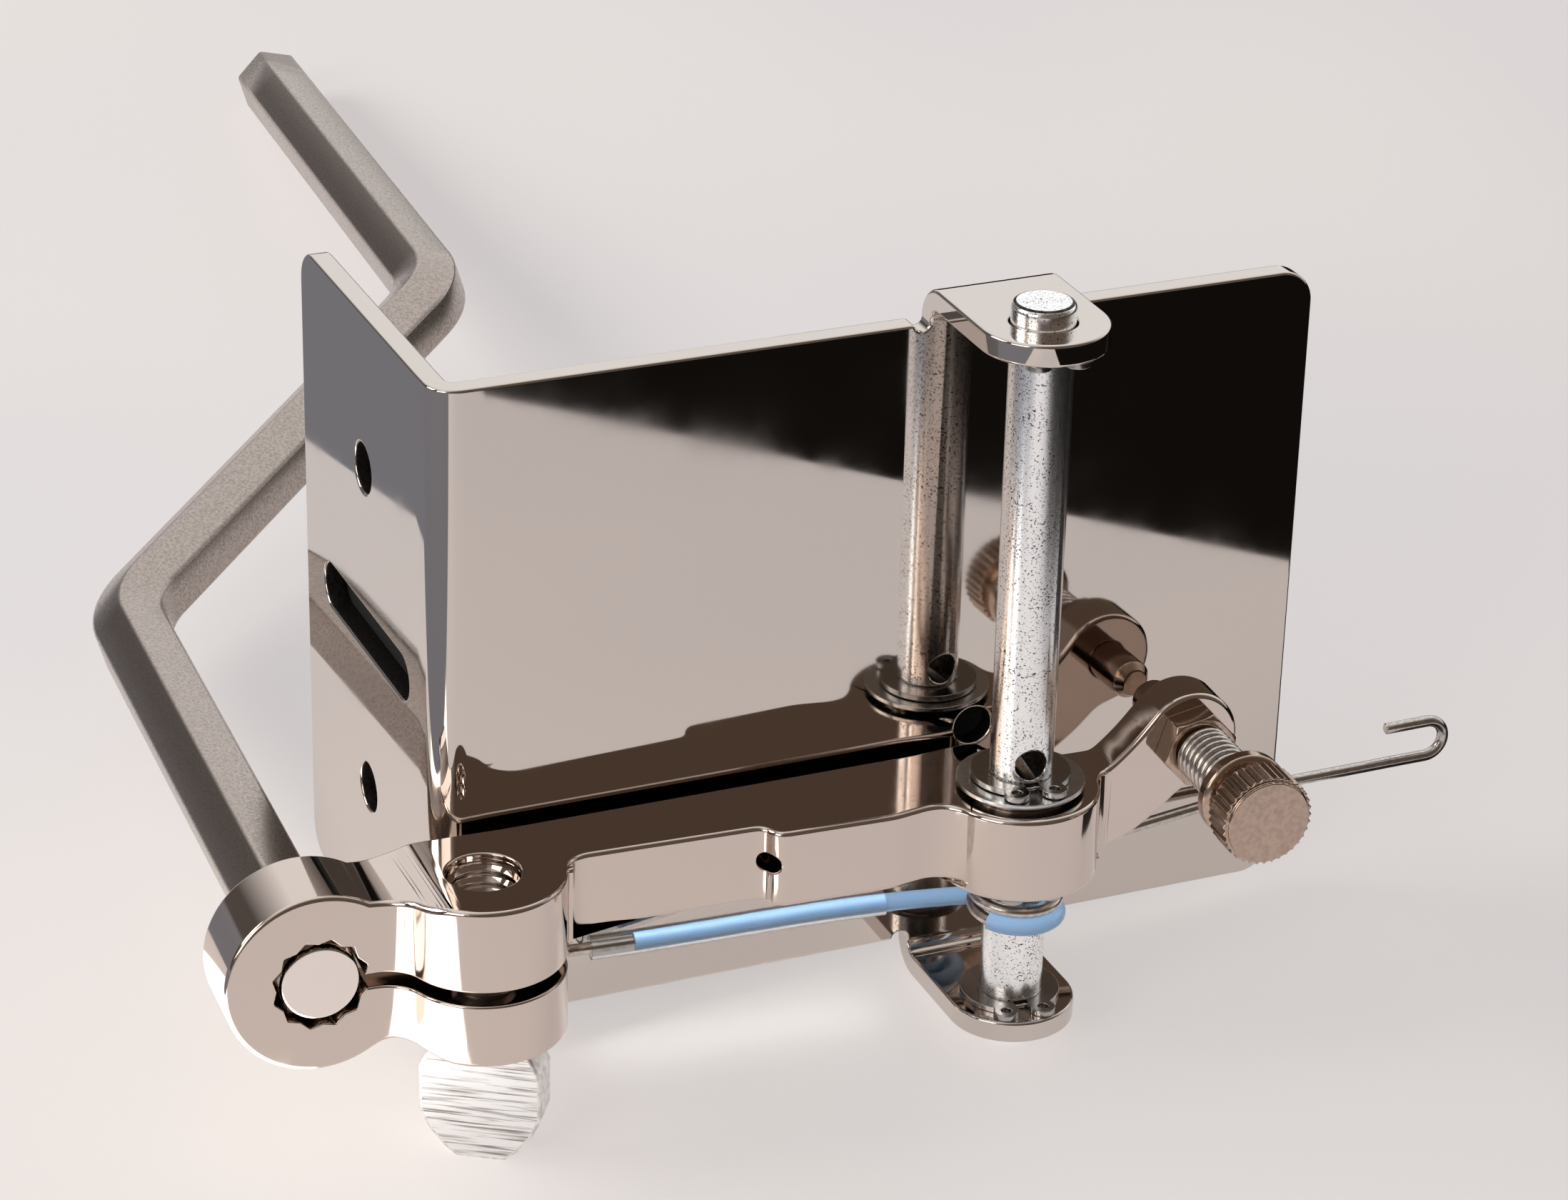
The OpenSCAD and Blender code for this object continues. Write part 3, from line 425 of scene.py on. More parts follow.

# Dark matt pads that paint the shade seen through the openings.
foam, tree, shader, mm = new_finish("black_foam_sheet", "#1b1a1a", 0, 0.9)
cells = add(tree, "TexVoronoi", {"Scale": 1 / 0.5}, {"Vector": mm})
bump = add(tree, "Bump", {"Strength": 0.6, "Distance": 0.1 * MM},
           {"Height": cells.outputs["Distance"]})
tree.links.new(bump.outputs["Normal"], shader.inputs["Normal"])
FINISH["black_foam"] = foam
print("finishes:", len(FINISH))

# %% [markdown]
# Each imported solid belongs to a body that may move, and to a slot that names
# its material. A dressed piece takes the place of its solid, so it rides on
# the same body and takes the same slot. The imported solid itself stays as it
# is and is hidden.

# %% Helpers for dressed pieces
SLOT_OF = {part["node"]: part["material_slot"] for part in frame["record"]["subparts"]}


def settle(piece):
    """Turns a piece's modifiers into its mesh."""
    scene = bpy.context.evaluated_depsgraph_get()
    mesh = bpy.data.meshes.new_from_object(piece.evaluated_get(scene))
    piece.modifiers.clear()
    old, piece.data = piece.data, mesh
    bpy.data.meshes.remove(old)


def place_piece(piece, node):
    """Hangs a piece on the body of a node and gives it the finish of its slot."""
    slot = SLOT_OF[node]
    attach(piece, frame["nodes"][node]["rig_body"])
    piece.data.materials.clear()
    piece.data.materials.append(FINISH[slot])


def new_piece(name, mesh):
    piece = bpy.data.objects.new(name, mesh)
    bpy.context.scene.collection.objects.link(piece)
    return piece


print("slots:", len(set(SLOT_OF.values())))

# %% [markdown]
# Mirror polish shows every facet, so the bracket and the lever are built
# again with fine arcs, in millimetres, and scaled at the end. Blender's
# curves could give the outlines, but points that are counted here meet each
# other exactly where two forms join.

# %% Outlines
from mathutils.geometry import delaunay_2d_cdt


def smooth_path(points, step):
    """A Catmull-Rom line through the points, with a point about every step mm."""
    points = [Vector(p) for p in points]
    padded = [2 * points[0] - points[1]] + points + [2 * points[-1] - points[-2]]
    line = []
    for i in range(1, len(padded) - 2):
        a, b, c, d = padded[i - 1:i + 3]
        count = max(1, round((c - b).length / step))
        for k in range(count):
            t = k / count
            line.append(0.5 * (
                2 * b + (c - a) * t + (2 * a - 5 * b + 4 * c - d) * t * t
                + (3 * b - a - 3 * c + d) * t ** 3))
    return line + [points[-1]]


def smooth_2d(points, step=0.35):
    """The same line for a flat outline."""
    return [(p.x, p.y) for p in smooth_path([(x, y, 0) for x, y in points], step)]


def arc(cx, cy, radius, start, end, step=4):
    """Points of an arc between two angles, one about every step degrees."""
    count = max(2, round(abs(end - start) / step))
    turns = [math.radians(start + (end - start) * i / count) for i in range(count + 1)]
    return [(cx + radius * math.cos(t), cy + radius * math.sin(t)) for t in turns]


def circle_at(cx, cy, radius, step=6):
    return arc(cx, cy, radius, 0, 360, step)[:-1]


print("a circle has", len(circle_at(0, 0, 1)), "points")

# %% [markdown]
# A flat outline with holes could be one face with cuts in it. A constrained
# triangulation is surer: it keeps the flats flat and the holes' edges where
# they are. It fills the holes too, so the faces in them are left out.

# %% Filled outlines
def inside(spot, loop):
    """Counts how often a line to the right of a spot crosses the loop."""
    crossings = 0
    for (x0, y0), (x1, y1) in zip(loop, loop[1:] + loop[:1]):
        if (y0 > spot[1]) != (y1 > spot[1]):
            crossings += spot[0] < x0 + (x1 - x0) * (spot[1] - y0) / (y1 - y0)
    return crossings % 2 == 1


def filled(loops, to_space):
    """Flat faces inside the first loop and outside the others, set in space."""
    flat, edges = [], []
    for loop in loops:
        first, n = len(flat), len(loop)
        flat += [Vector(p) for p in loop]
        edges += [(first + i, first + (i + 1) % n) for i in range(n)]
    points, _, faces, _, _, _ = delaunay_2d_cdt(flat, edges, [], 1, 1e-5)
    middle = {tuple(f): sum((points[i] for i in f), Vector((0, 0))) / len(f) for f in faces}
    kept = [f for f in faces if not any(inside(middle[tuple(f)], loop) for loop in loops[1:])]
    return [to_space(*p) for p in points], kept


def mesh_of(name, parts):
    """One clean mesh from several lists of points and faces."""
    grid = bmesh.new()
    for points, faces in parts:
        made = [grid.verts.new(p) for p in points]
        for face in faces:
            grid.faces.new([made[i] for i in face])
    bmesh.ops.remove_doubles(grid, verts=grid.verts, dist=0.001)
    bmesh.ops.recalc_face_normals(grid, faces=grid.faces)
    mesh = bpy.data.meshes.new(name)
    grid.to_mesh(mesh)
    grid.free()
    return mesh


square = [(0, 0), (2, 0), (2, 2), (0, 2)]
print("a square fills to", len(filled([square], lambda x, y: (x, y, 0))[1]), "faces")

# %% [markdown]
# Machined and cast forms are prisms and turned bodies that are joined, cut
# and intersected, as on a milling machine and a lathe. So are these.

# %% Prisms, turned bodies and cuts
LATHE_SIDES = 48


def prism(name, outline, low, high, axis="Z"):
    """A straight prism in mm. Axis Y takes the outline as x and z."""
    def spot(x, y, h):
        return (x, y, h) if axis == "Z" else (x, h, y)

    n = len(outline)
    points = [spot(x, y, low) for x, y in outline] + [spot(x, y, high) for x, y in outline]
    faces = [list(range(n)), list(range(n, 2 * n))]
    faces += [[i, (i + 1) % n, n + (i + 1) % n, n + i] for i in range(n)]
    return new_piece(name, mesh_of(name, [(points, faces)]))


def lathe(name, profile, closed=False):
    """Turns a profile of (radius, height) points round the Z axis."""
    rings, n = len(profile), LATHE_SIDES
    angles = [2 * math.pi * i / n for i in range(n)]
    points = []
    for radius, z in profile:
        points += [(radius * math.cos(a), radius * math.sin(a), z) for a in angles]
    faces = []
    for r in range(rings if closed else rings - 1):
        a, b = r * n, (r + 1) % rings * n
        faces += [[a + i, a + (i + 1) % n, b + (i + 1) % n, b + i] for i in range(n)]
    if not closed:
        faces += [list(range(n)), [(rings - 1) * n + i for i in range(n)]]
    return new_piece(name, mesh_of(name, [(points, faces)]))


def thread(low, high, core, crest, pitch):
    """Profile of a thread, drawn as rings."""
    line, z = [(core, low)], low
    while z + pitch < high:
        line += [(core, z + pitch * 0.1), (crest, z + pitch * 0.42)]
        line += [(crest, z + pitch * 0.55), (core, z + pitch * 0.87)]
        z += pitch
    return line + [(core, high)]


def carve(base, tools, way):
    """Joins, cuts or intersects prisms, and removes the tools."""
    for tool in tools:
        step = base.modifiers.new("carve", "BOOLEAN")
        step.operation, step.solver, step.object = way, "EXACT", tool
        settle(base)
        bpy.data.objects.remove(tool)


print("a thread of three turns has", len(thread(0, 3.5, 1, 1.2, 1)), "points")

# %% [markdown]
# Sharp edges look drawn by a computer. On the real parts each edge is tumbled
# or polished round, and the flats between them stay mirrors. A bevel rounds
# the edges. Plain smooth shading would then bend the flats' reflections at
# their borders, so each large flat keeps its own normal up to its border.

# %% Rounded edges and flat mirrors
SAME_FLAT, FLAT_LEAD = 0.99995, 5


def soften(piece, width, steps=3, weigh=None, angle=33):
    """Rounds the edges sharper than an angle. weigh gives each its share."""
    grid = bmesh.new()
    grid.from_mesh(piece.data)
    bmesh.ops.remove_doubles(grid, verts=grid.verts, dist=0.002)
    bmesh.ops.dissolve_limit(
        grid, angle_limit=math.radians(0.4), verts=grid.verts, edges=grid.edges)
    share = grid.edges.layers.float.new("bevel_weight_edge")
    for edge in grid.edges:
        if len(edge.link_faces) == 2 and edge.calc_face_angle() > math.radians(angle):
            edge[share] = weigh(edge) if weigh else 1
    grid.to_mesh(piece.data)
    grid.free()
    bevel = piece.modifiers.new("edges", "BEVEL")
    bevel.width, bevel.segments = width, steps
    bevel.limit_method = "WEIGHT"
    bevel.use_clamp_overlap = False
    bevel.miter_outer = "MITER_ARC"
    settle(piece)


def shade_flats(piece, sharp=42):
    """Smooth shading in which a large flat keeps its own normal to its border."""
    mesh = piece.data
    limit = math.cos(math.radians(sharp))
    around = [[] for _ in mesh.vertices]
    for face in mesh.polygons:
        face.use_smooth = True
        for v in face.vertices:
            around[v].append(face)
    normals = []
    for face in mesh.polygons:
        for v in face.vertices:
            groups = []
            for other in around[v]:
                if other.normal.dot(face.normal) < limit:
                    continue
                for group in groups:
                    if group[0].dot(other.normal) > SAME_FLAT:
                        group[1] += other.area
                        break
                else:
                    groups.append([other.normal.copy(), other.area])
            groups.sort(key=lambda g: -g[1])
            if len(groups) == 1 or groups[0][1] > FLAT_LEAD * groups[1][1]:
                normals.append(groups[0][0])
            else:
                normals.append(sum((n * a for n, a in groups), Vector()).normalized())
    mesh.normals_split_custom_set(normals)


print("flats lead their borders from", FLAT_LEAD, "times the area")

# %% [markdown]
# The part's zero lies between the two screw holes of the flange. The bracket
# is laid out from its lower left corner. The lever's own frame sits on the
# shaft and is turned by 2.9 degrees, as the solids are.

# %% The frames of the bracket, the shaft and the lever
SHAFT_X, EAR_OUT, PLATE_H, FLANGE_MIDDLE = 57.3, 11.2, 68.3, 21.4
PLATE_MIDDLE = PLATE_H / 2
BRACKET_FRAME = Matrix.Scale(MM, 4) @ Matrix.Translation((0, -FLANGE_MIDDLE, -PLATE_MIDDLE))
SHAFT = Vector((SHAFT_X, -FLANGE_MIDDLE - EAR_OUT, -PLATE_MIDDLE))
LEVER_TURN = math.radians(-2.9)
LEVER_FRAME = Matrix.Scale(MM, 4) @ Matrix.Translation(SHAFT)
LEVER_FRAME = LEVER_FRAME @ Matrix.Rotation(LEVER_TURN, 4, "Z")


def on_shaft(points):
    return [Vector(p) + SHAFT for p in points]


def on_lever(points):
    turn = Matrix.Rotation(LEVER_TURN, 3, "Z")
    return [turn @ Vector(p) + SHAFT for p in points]


print("shaft at", tuple(round(v, 2) for v in SHAFT), "mm")

# %% [markdown]
# The bracket is laser-cut sheet, folded once for the flange and twice for the
# ears. A press brake starts from the flat, and so do these cells: the front
# skin is laid out with its holes, the folds are strips on arcs, and the
# sheet's thickness is added behind it. The long fold comes first. A press
# leaves soft ends on it, which a plain arc doesn't have, and the mirror
# shows them.

# %% Bracket: the long fold
SHEET, PLATE_W, FLANGE_D, CORNER_R = 2.3, 93, 40.4, 3.5


def fold_line(core=2.36, reach=6.8):
    """Points of the fold from flange to plate: a tight bend with soft ends."""
    stops = [-reach + (reach - core) * i / 8 for i in range(8)]
    stops += [-core + 2 * core * i / 24 for i in range(25)]
    stops += [core + (reach - core) * i / 8 for i in range(1, 9)]

    def heading(s):
        ease = (s + reach) / (2 * reach)
        tight = min(1, max(0, (s + core) / (2 * core)))
        return math.radians(85 * tight + 5 * ease * ease * (3 - 2 * ease))

    x = y = 0
    line = [(0, 0)]
    for a, b in zip(stops, stops[1:]):
        turn = heading((a + b) / 2)
        x, y = x + (b - a) * math.sin(turn), y - (b - a) * math.cos(turn)
        line.append((x, y))
    return [(px, py - y) for px, py in line]


fold = fold_line()
SOFT_END = fold[-1][0]
FOLD_REACH = fold[0][1]


def strip(line):
    """A bent strip from points in pairs, as mesh points and faces."""
    pairs = len(line) // 2
    return line, [[2 * i, 2 * i + 1, 2 * i + 3, 2 * i + 2] for i in range(pairs - 1)]


fold_skin = strip([(x, y, z) for x, y in fold for z in (0, PLATE_H)])
print("fold reaches", round(SOFT_END, 2), "mm along the plate")

# %% [markdown]
# The face plate has a hole behind the shaft and two small round notches
# beside each ear, so that the sheet doesn't tear where the ear is bent. The
# flange has the two screw holes and the slot for the strap button's screw.

# %% Bracket: plate and flange
EAR_W, NOTCH_R = 13, 0.8
PLATE_HOLE_Z, PLATE_HOLE_R, SCREW_HOLE_R, SCREWS_APART = 23.4, 2, 2.55, 35.4
SLOT_R, SLOT_REACH = 2.4, 10.8
FLANGE_HOLES = [
    (FLANGE_MIDDLE, PLATE_MIDDLE - SCREWS_APART / 2),
    (FLANGE_MIDDLE, PLATE_MIDDLE + SCREWS_APART / 2),
]


def corners(width):
    """The two round corners at the far end of a plate or flange."""
    lower = arc(width - CORNER_R, CORNER_R, CORNER_R, -90, 0)
    return lower + arc(width - CORNER_R, PLATE_H - CORNER_R, CORNER_R, 0, 90)


left, right = SHAFT_X - EAR_W / 2, SHAFT_X + EAR_W / 2
outline = [(SOFT_END, 0)]
for x in (left - NOTCH_R, right + NOTCH_R):
    outline += arc(x, 0, NOTCH_R, 180, 0, 15)
outline += corners(PLATE_W)
for x in (right + NOTCH_R, left - NOTCH_R):
    outline += arc(x, PLATE_H, NOTCH_R, 0, -180, 15)
outline += [(SOFT_END, PLATE_H)]
plate_hole = circle_at(SHAFT_X, PLATE_HOLE_Z, PLATE_HOLE_R)
parts = [filled([outline, plate_hole], lambda x, z: (x, 0, z))]

outline = [(FOLD_REACH, 0)] + corners(FLANGE_D) + [(FOLD_REACH, PLATE_H)]
slot = arc(FLANGE_MIDDLE + SLOT_REACH, PLATE_MIDDLE, SLOT_R, -90, 90, 6)
slot += arc(FLANGE_MIDDLE - SLOT_REACH, PLATE_MIDDLE, SLOT_R, 90, 270, 6)
holes = [circle_at(y, z, SCREW_HOLE_R) for y, z in FLANGE_HOLES]
parts.append(filled([outline, slot] + holes, lambda y, z: (0, y, z)))
parts.append(fold_skin)
print("plate, flange and fold:", sum(len(faces) for _, faces in parts), "faces")

# %% [markdown]
# Each ear is a tab, bent forward on a small radius, with a round end and the
# hole for the shaft. The upper and the lower ear are mirror images, so one
# small function places both.

# %% Bracket: the ears
EAR_R, EAR_HOLE_R = 1.5, 3.295
bend = [math.radians(90 * i / 10) for i in range(11)]
for side in (1, -1):
    def ear_spot(x, out, rise, side=side):
        return (x, -out, (PLATE_H + rise) if side > 0 else -rise)

    parts.append(strip([
        ear_spot(x, EAR_R - EAR_R * math.cos(t), EAR_R * math.sin(t))
        for t in bend for x in (left, right)
    ]))
    outline = [(right, EAR_R)] + arc(SHAFT_X, EAR_OUT, EAR_W / 2, 0, 180) + [(left, EAR_R)]
    shaft_hole = circle_at(SHAFT_X, EAR_OUT, EAR_HOLE_R)
    parts.append(filled([outline, shaft_hole], lambda x, out: ear_spot(x, out, EAR_R)))
print("front skin in", len(parts), "parts")

# %% [markdown]
# The parts of the skin are joined, the sheet's thickness is added behind
# them, and the edges are rounded. The walls of the openings were cut and
# never polished, and their dark finish also paints the shade inside the openings.

# %% Mounting bracket
bracket = new_piece("mounting_bracket_dressed", mesh_of("mounting_bracket_dressed", parts))
front = next(f for f in bracket.data.polygons if abs(f.normal.y) > 0.9 and f.area > 500)
if front.normal.y > 0:
    bracket.data.flip_normals()
wall = bracket.modifiers.new("sheet", "SOLIDIFY")
wall.thickness, wall.offset, wall.use_even_offset = SHEET, -1, True
settle(bracket)
soften(bracket, 0.32)
shade_flats(bracket)


def in_opening(face):
    """The walls of the slot and of the round holes, which were never polished."""
    c, n, near = face.center, face.normal, 0.1
    if c.x < SHEET + near and abs(n.x) < 0.3:
        if abs(c.z - PLATE_MIDDLE) < SLOT_R + near:
            return abs(c.y - FLANGE_MIDDLE) < SLOT_REACH + SLOT_R + near
        reach = SCREW_HOLE_R + near
        return any(math.hypot(c.y - y, c.z - z) < reach for y, z in FLANGE_HOLES)
    if not -0.2 < c.y < SHEET + 0.2 or abs(n.y) > 0.3:
        return False
    return math.hypot(c.x - SHAFT_X, c.z - PLATE_HOLE_Z) < PLATE_HOLE_R + near


place_piece(bracket, "mounting_bracket")
# The walls of the openings take the dark finish, which also paints their shade.
bracket.data.materials.append(FINISH["cut_wall"])
for face in bracket.data.polygons:
    face.material_index = 1 if in_opening(face) else 0
bracket.data.transform(BRACKET_FRAME)
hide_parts("mounting_bracket")
print("bracket:", len(bracket.data.polygons), "faces")

# %% [markdown]
# All openings look black inside in the picture, although the table behind is
# pale. A darker finish of their walls alone doesn't paint that shade, because
# one looks through them. So two thin dark pads on the inner faces, well inside
# their borders, paint the shade that is seen through the openings.

# %% Dark pads of painted shade
PAD, PAD_GAP, PAD_START = 0.8, 0.02, 6
PAD_LOW, PAD_HIGH = 2, PLATE_H - 2


def box_outline(x0, x1, y0, y1):
    return [(x0, y0), (x1, y0), (x1, y1), (x0, y1)]


back, front = SHEET + PAD_GAP, SHEET + PAD
on_plate = box_outline(PAD_START, PLATE_W - 2.5, PAD_LOW, PAD_HIGH)
on_flange = box_outline(back, front, PAD_START, FLANGE_D - 2.4)
# Two dark pads behind the openings paint the shade seen through them.
plate_pad = prism("painted_shade_pad_on_plate", on_plate, back, front, "Y")
flange_pad = prism("painted_shade_pad_on_flange", on_flange, PAD_LOW, PAD_HIGH)
for pad in (plate_pad, flange_pad):
    pad.data.transform(BRACKET_FRAME)
    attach(pad, frame["nodes"]["mounting_bracket"]["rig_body"])
    pad.data.materials.append(FINISH["black_foam"])
print("foam pads:", PAD, "mm thick")

# %% [markdown]
# The lever is a casting, polished all over: a round clamp for the rod, a boss
# for the clamp screw, an arm, the pivot's boss, and a band that climbs to the
# eye of the stop screw. It could be sculpted. A pattern maker draws a top view
# and a front view instead, and these outlines are those two views.

# %% Lever: outlines of the clamp
CLAMP_X, CLAMP_Y, CLAMP_BOSS_R = -55.9, -0.8, 8.1
DISC_X, DISC_Z, DISC_R = -72.3, 13.3, 9.4
TOP, LOW, ARM_LOW, LEVER_LOW = 22.3, 5.3, 14.0, 13.1


def beside_boss(face_y, radius, side):
    """The round between a front face and the upright boss, on one side of it."""
    drop = CLAMP_Y - face_y + radius
    reach = math.sqrt((CLAMP_BOSS_R + radius) ** 2 - drop ** 2)
    cx, cy = CLAMP_X + side * reach, face_y - radius
    return cx, cy, radius, math.degrees(math.atan2(CLAMP_Y - cy, CLAMP_X - cx))


left_round, right_round = beside_boss(-1.7, 4.0, -1), beside_boss(-0.5, 3.0, 1)
clamp_plan = [(-84, 7.1), (-84, -1.7)] + arc(*left_round[:3], 90, left_round[3])
clamp_plan += arc(CLAMP_X, CLAMP_Y, CLAMP_BOSS_R, left_round[3] + 180, 360)[1:]
clamp_plan += [(CLAMP_X + CLAMP_BOSS_R, 7.1)]

clamp_side = arc(DISC_X, DISC_Z, DISC_R, 58, 302)
clamp_side += smooth_2d([
    (-67.32, 5.33), (-66, 5.95), (-64.6, 6.15), (-62.8, 5.85), (-61.2, 5.4), (-59.5, LOW),
])[1:]
clamp_side += [(-40, LOW), (-40, TOP)]
clamp_side += smooth_2d([
    (-59.5, TOP), (-61.2, 22.2), (-62.8, 21.75), (-64.6, 21.35), (-66, 21.2), (-67.32, 21.27),
])[:-1]
print("clamp outlines:", len(clamp_plan), "and", len(clamp_side), "points")

# %% [markdown]
# The arm has a thicker ridge along its front and hugs the pivot's boss. The
# band to the eye is cut from a front view, which gives its climb and the eye,
# and from a top view, which gives its thickness and its round to the boss.

# %% Lever: outlines of the arm and of the band to the eye
STOP_X, STOP_Z, EYE_R, PIVOT_BOSS_R = 18.55, 24.2, 5.1, 8
arm_plan = [(CLAMP_X, 6.9), (CLAMP_X, CLAMP_Y)] + arc(*right_round[:3], right_round[3], 90)
arm_plan += smooth_2d([
    (-28.6, -0.5), (-27.8, -0.6), (-27.2, -1.0), (-26.7, -1.8), (-26.1, -2.35), (-25.2, -2.5),
])
arm_plan += smooth_2d([
    (-16, -2.5), (-14, -2.42), (-12, -2.02), (-10.3, -1.72), (-8.9, -1.95), (-7.8, -2.8),
    (-6.9, -4.0),
])
arm_plan += [(0, -4), (2.6, 7.5)]
arm_plan += smooth_2d([
    (2.6, 7.5), (1.0, 9.0), (-1.2, 9.75), (-3.6, 9.8), (-8, 9.2), (-14, 8.93),
], 0.5)

BAND_LOW = LEVER_LOW + 0.4
eye_side = [(0, BAND_LOW), (0, TOP)]
eye_side += smooth_2d([(8.6, TOP), (9.75, 22.5), (11.55, 24), (13.1, 25.6), (14.98, 27.84)])
eye_side += arc(STOP_X, STOP_Z, EYE_R, 134.4, -78)[1:]
eye_side += smooth_2d([
    (19.6, 19.21), (17.7, 18.5), (15.25, 16.4), (12.15, 14.3), (9.6, 13.35), (7.4, BAND_LOW),
])[1:]
eye_plan = [(0, 4.9), (0, -1), (7.6, -2.3)] + arc(10.22, -2.4, 2.5, 160, 90)
eye_plan += [(26, 0.1), (26, 4.9)]
print("arm and band outlines:", len(arm_plan), "and", len(eye_side), "points")

# %% [markdown]
# The clamp is what its top view and its front view have in common, and so is
# the band to the eye. Boolean modifiers intersect them and join the forms.

# %% Lever: blank
lever = prism("hip_lever_dressed", clamp_plan, LOW - 2, TOP + 2)
carve(lever, [prism("front_view", clamp_side, -12, 7.1, "Y")], "INTERSECT")
band = prism("band", eye_side, -5, 4.9, "Y")
carve(band, [prism("band_plan", eye_plan, 10, 32)], "INTERSECT")
boss = prism("boss", circle_at(0, 0, PIVOT_BOSS_R, 4), LEVER_LOW, TOP)
carve(lever, [prism("arm", arm_plan, ARM_LOW, TOP), boss, band], "UNION")
print("lever blank:", len(lever.data.polygons), "faces")

# %% [markdown]
# The bore for the rod is a star of twelve points, so that the hexagonal rod
# can be set in twelve positions, and a slit lets the clamp close on it. All
# holes are cut here, before the edges are rounded, because a bevel that is
# cut through afterwards leaves slivers.

# %% Lever: bores, holes and slit
STAR_FLATS, STAR_TURN = 8.34, 16.5
STAR_TIP_R = STAR_FLATS / 2 / math.cos(math.radians(30))
STAR_NOTCH_R = STAR_FLATS / 2 / math.cos(math.radians(15))
SLIT_LOW, SLIT_HIGH = 12.1, 13.5
SHAFT_BORE = (0, 0, 3.6)
CLAMP_HOLE = (CLAMP_X, CLAMP_Y, 3.66)
RIDGE_HOLE = (-27, 18.6, 1)
STOP_HOLE = (STOP_X, STOP_Z, 2.135)
HOOK_PIN_X, HOOK_PIN_Y = -1.85, 7.5

star = []
for i in range(12):
    turn = math.radians(STAR_TURN + 30 * i)
    for angle, radius in ((turn, STAR_TIP_R), (turn + math.radians(15), STAR_NOTCH_R)):
        star.append((DISC_X + radius * math.cos(angle), DISC_Z + radius * math.sin(angle)))
cuts = [
    prism("star_bore", star, -12, 12, "Y"),
    prism("slit", box_outline(DISC_X, -40, SLIT_LOW, SLIT_HIGH), -12, 12, "Y"),
    prism("shaft_bore", circle_at(*SHAFT_BORE, 8), 0, 40),
    prism("clamp_hole", circle_at(*CLAMP_HOLE, 8), 0, 40),
    prism("ridge_hole", circle_at(*RIDGE_HOLE, 15), -6, 6, "Y"),
    prism("stop_hole", circle_at(*STOP_HOLE, 10), -6, 8, "Y"),
    prism("pin_hole", circle_at(HOOK_PIN_X, HOOK_PIN_Y, 0.65, 20), 0, 40),
    prism("hollow", circle_at(3.5, 10.6, 4.2, 8), 0, 40),
]
carve(lever, cuts, "DIFFERENCE")
print("lever with its holes:", len(lever.data.polygons), "faces")

# %% [markdown]
# Polishing rounds the outside of a casting more than the edges of its holes.
# One bevel with a weight on each edge gives both.

# %% Lever: edges and finish
def lever_edge(edge):
    """Full rounds outside, small ones at the slit and at the holes."""
    spots = [v.co for v in edge.verts]

    def on_rim(hole, flat):
        cx, cy, radius = hole
        return all(
            abs(math.hypot(flat(c)[0] - cx, flat(c)[1] - cy) - radius) < 0.06 for c in spots
        )

    if any(on_rim(hole, lambda c: c.xy) for hole in (SHAFT_BORE, CLAMP_HOLE)):
        return 0.5
    if any(on_rim(hole, lambda c: c.xz) for hole in (RIDGE_HOLE, STOP_HOLE)):
        return 0.3
    if all(math.hypot(c.x - DISC_X, c.z - DISC_Z) < STAR_TIP_R + 0.3 for c in spots):
        return 0.25
    if all(min(abs(c.z - SLIT_LOW), abs(c.z - SLIT_HIGH)) < 0.01 for c in spots):
        return 0.55
    return 1


soften(lever, 0.5, 4, lever_edge)
shade_flats(lever)
place_piece(lever, "hip_lever")
lever.data.transform(LEVER_FRAME)
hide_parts("hip_lever")
print("lever:", len(lever.data.polygons), "faces")

# %% [markdown]
# The shaft, the rings, the bushings, the washer, the stop screw and its nut
# are turned or stamped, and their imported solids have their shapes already.
# So each gets a copy with clean faces and small rounds on its edges.

# %% Rounded copies
def clean_copy(node):
    """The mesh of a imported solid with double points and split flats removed."""
    grid = bmesh.new()
    grid.from_mesh(frame["nodes"][node].data)
    bmesh.ops.remove_doubles(grid, verts=grid.verts, dist=0.002 * MM)
    bmesh.ops.dissolve_limit(
        grid, angle_limit=math.radians(0.5), verts=grid.verts, edges=grid.edges)
    mesh = bpy.data.meshes.new(node + "_dressed")
    grid.to_mesh(mesh)
    grid.free()
    return mesh


def rounded(node, width):
    """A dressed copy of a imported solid, its edges rounded by a width in mm."""
    piece = new_piece(node + "_dressed", clean_copy(node))
    piece.data.transform(Matrix.Scale(1 / MM, 4))
    soften(piece, width, angle=30)
    shade_flats(piece, sharp=35)
    piece.data.transform(Matrix.Scale(MM, 4))
    place_piece(piece, node)
    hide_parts(node)
    return piece


EDGES = {
    "pivot_shaft": 0.25,
    "upper_ear_ring": 0.1, "lower_ear_ring": 0.1, "lever_top_ring": 0.1,
    "lever_under_ring": 0.1, "bushing_upper": 0.08, "bushing_lower": 0.08,
    "lever_washer": 0.08, "stop_screw": 0.12, "stop_nut": 0.12,
}
copies = {node: rounded(node, width) for node, width in EDGES.items()}
print("rounded copies:", len(copies))

# %% [markdown]
# The shaft's cross hole was drilled, and its walls get the dark finish that
# also paints the shade inside the hole. Its walls are the only faces of the
# shaft that lie well inside its surface and don't face up or down, and so they
# are found by that.

# %% Walls of the shaft's cross hole
INSIDE_SHAFT = 2.95
shaft_piece = copies["pivot_shaft"]
# The cross hole's walls take the dark finish, which also paints the shade inside it.
shaft_piece.data.materials.append(FINISH["cut_wall"])
for face in shaft_piece.data.polygons:
    away = (face.center - SHAFT * MM).xy.length / MM
    in_hole = away < INSIDE_SHAFT and abs(face.normal.z) < 0.95
    face.material_index = 1 if in_hole else 0
print("walls:", sum(face.material_index for face in shaft_piece.data.polygons), "faces")

# %% [markdown]
# The clamp screw is a thumb screw: a turned thread with a domed end, and a
# cast spade whose two faces were sawn flat. The saw's lines are bright and
# horizontal, the cast sides are grey. A real thread is a helix. Rings of the
# same pitch look the same from here and make a cleaner mesh.

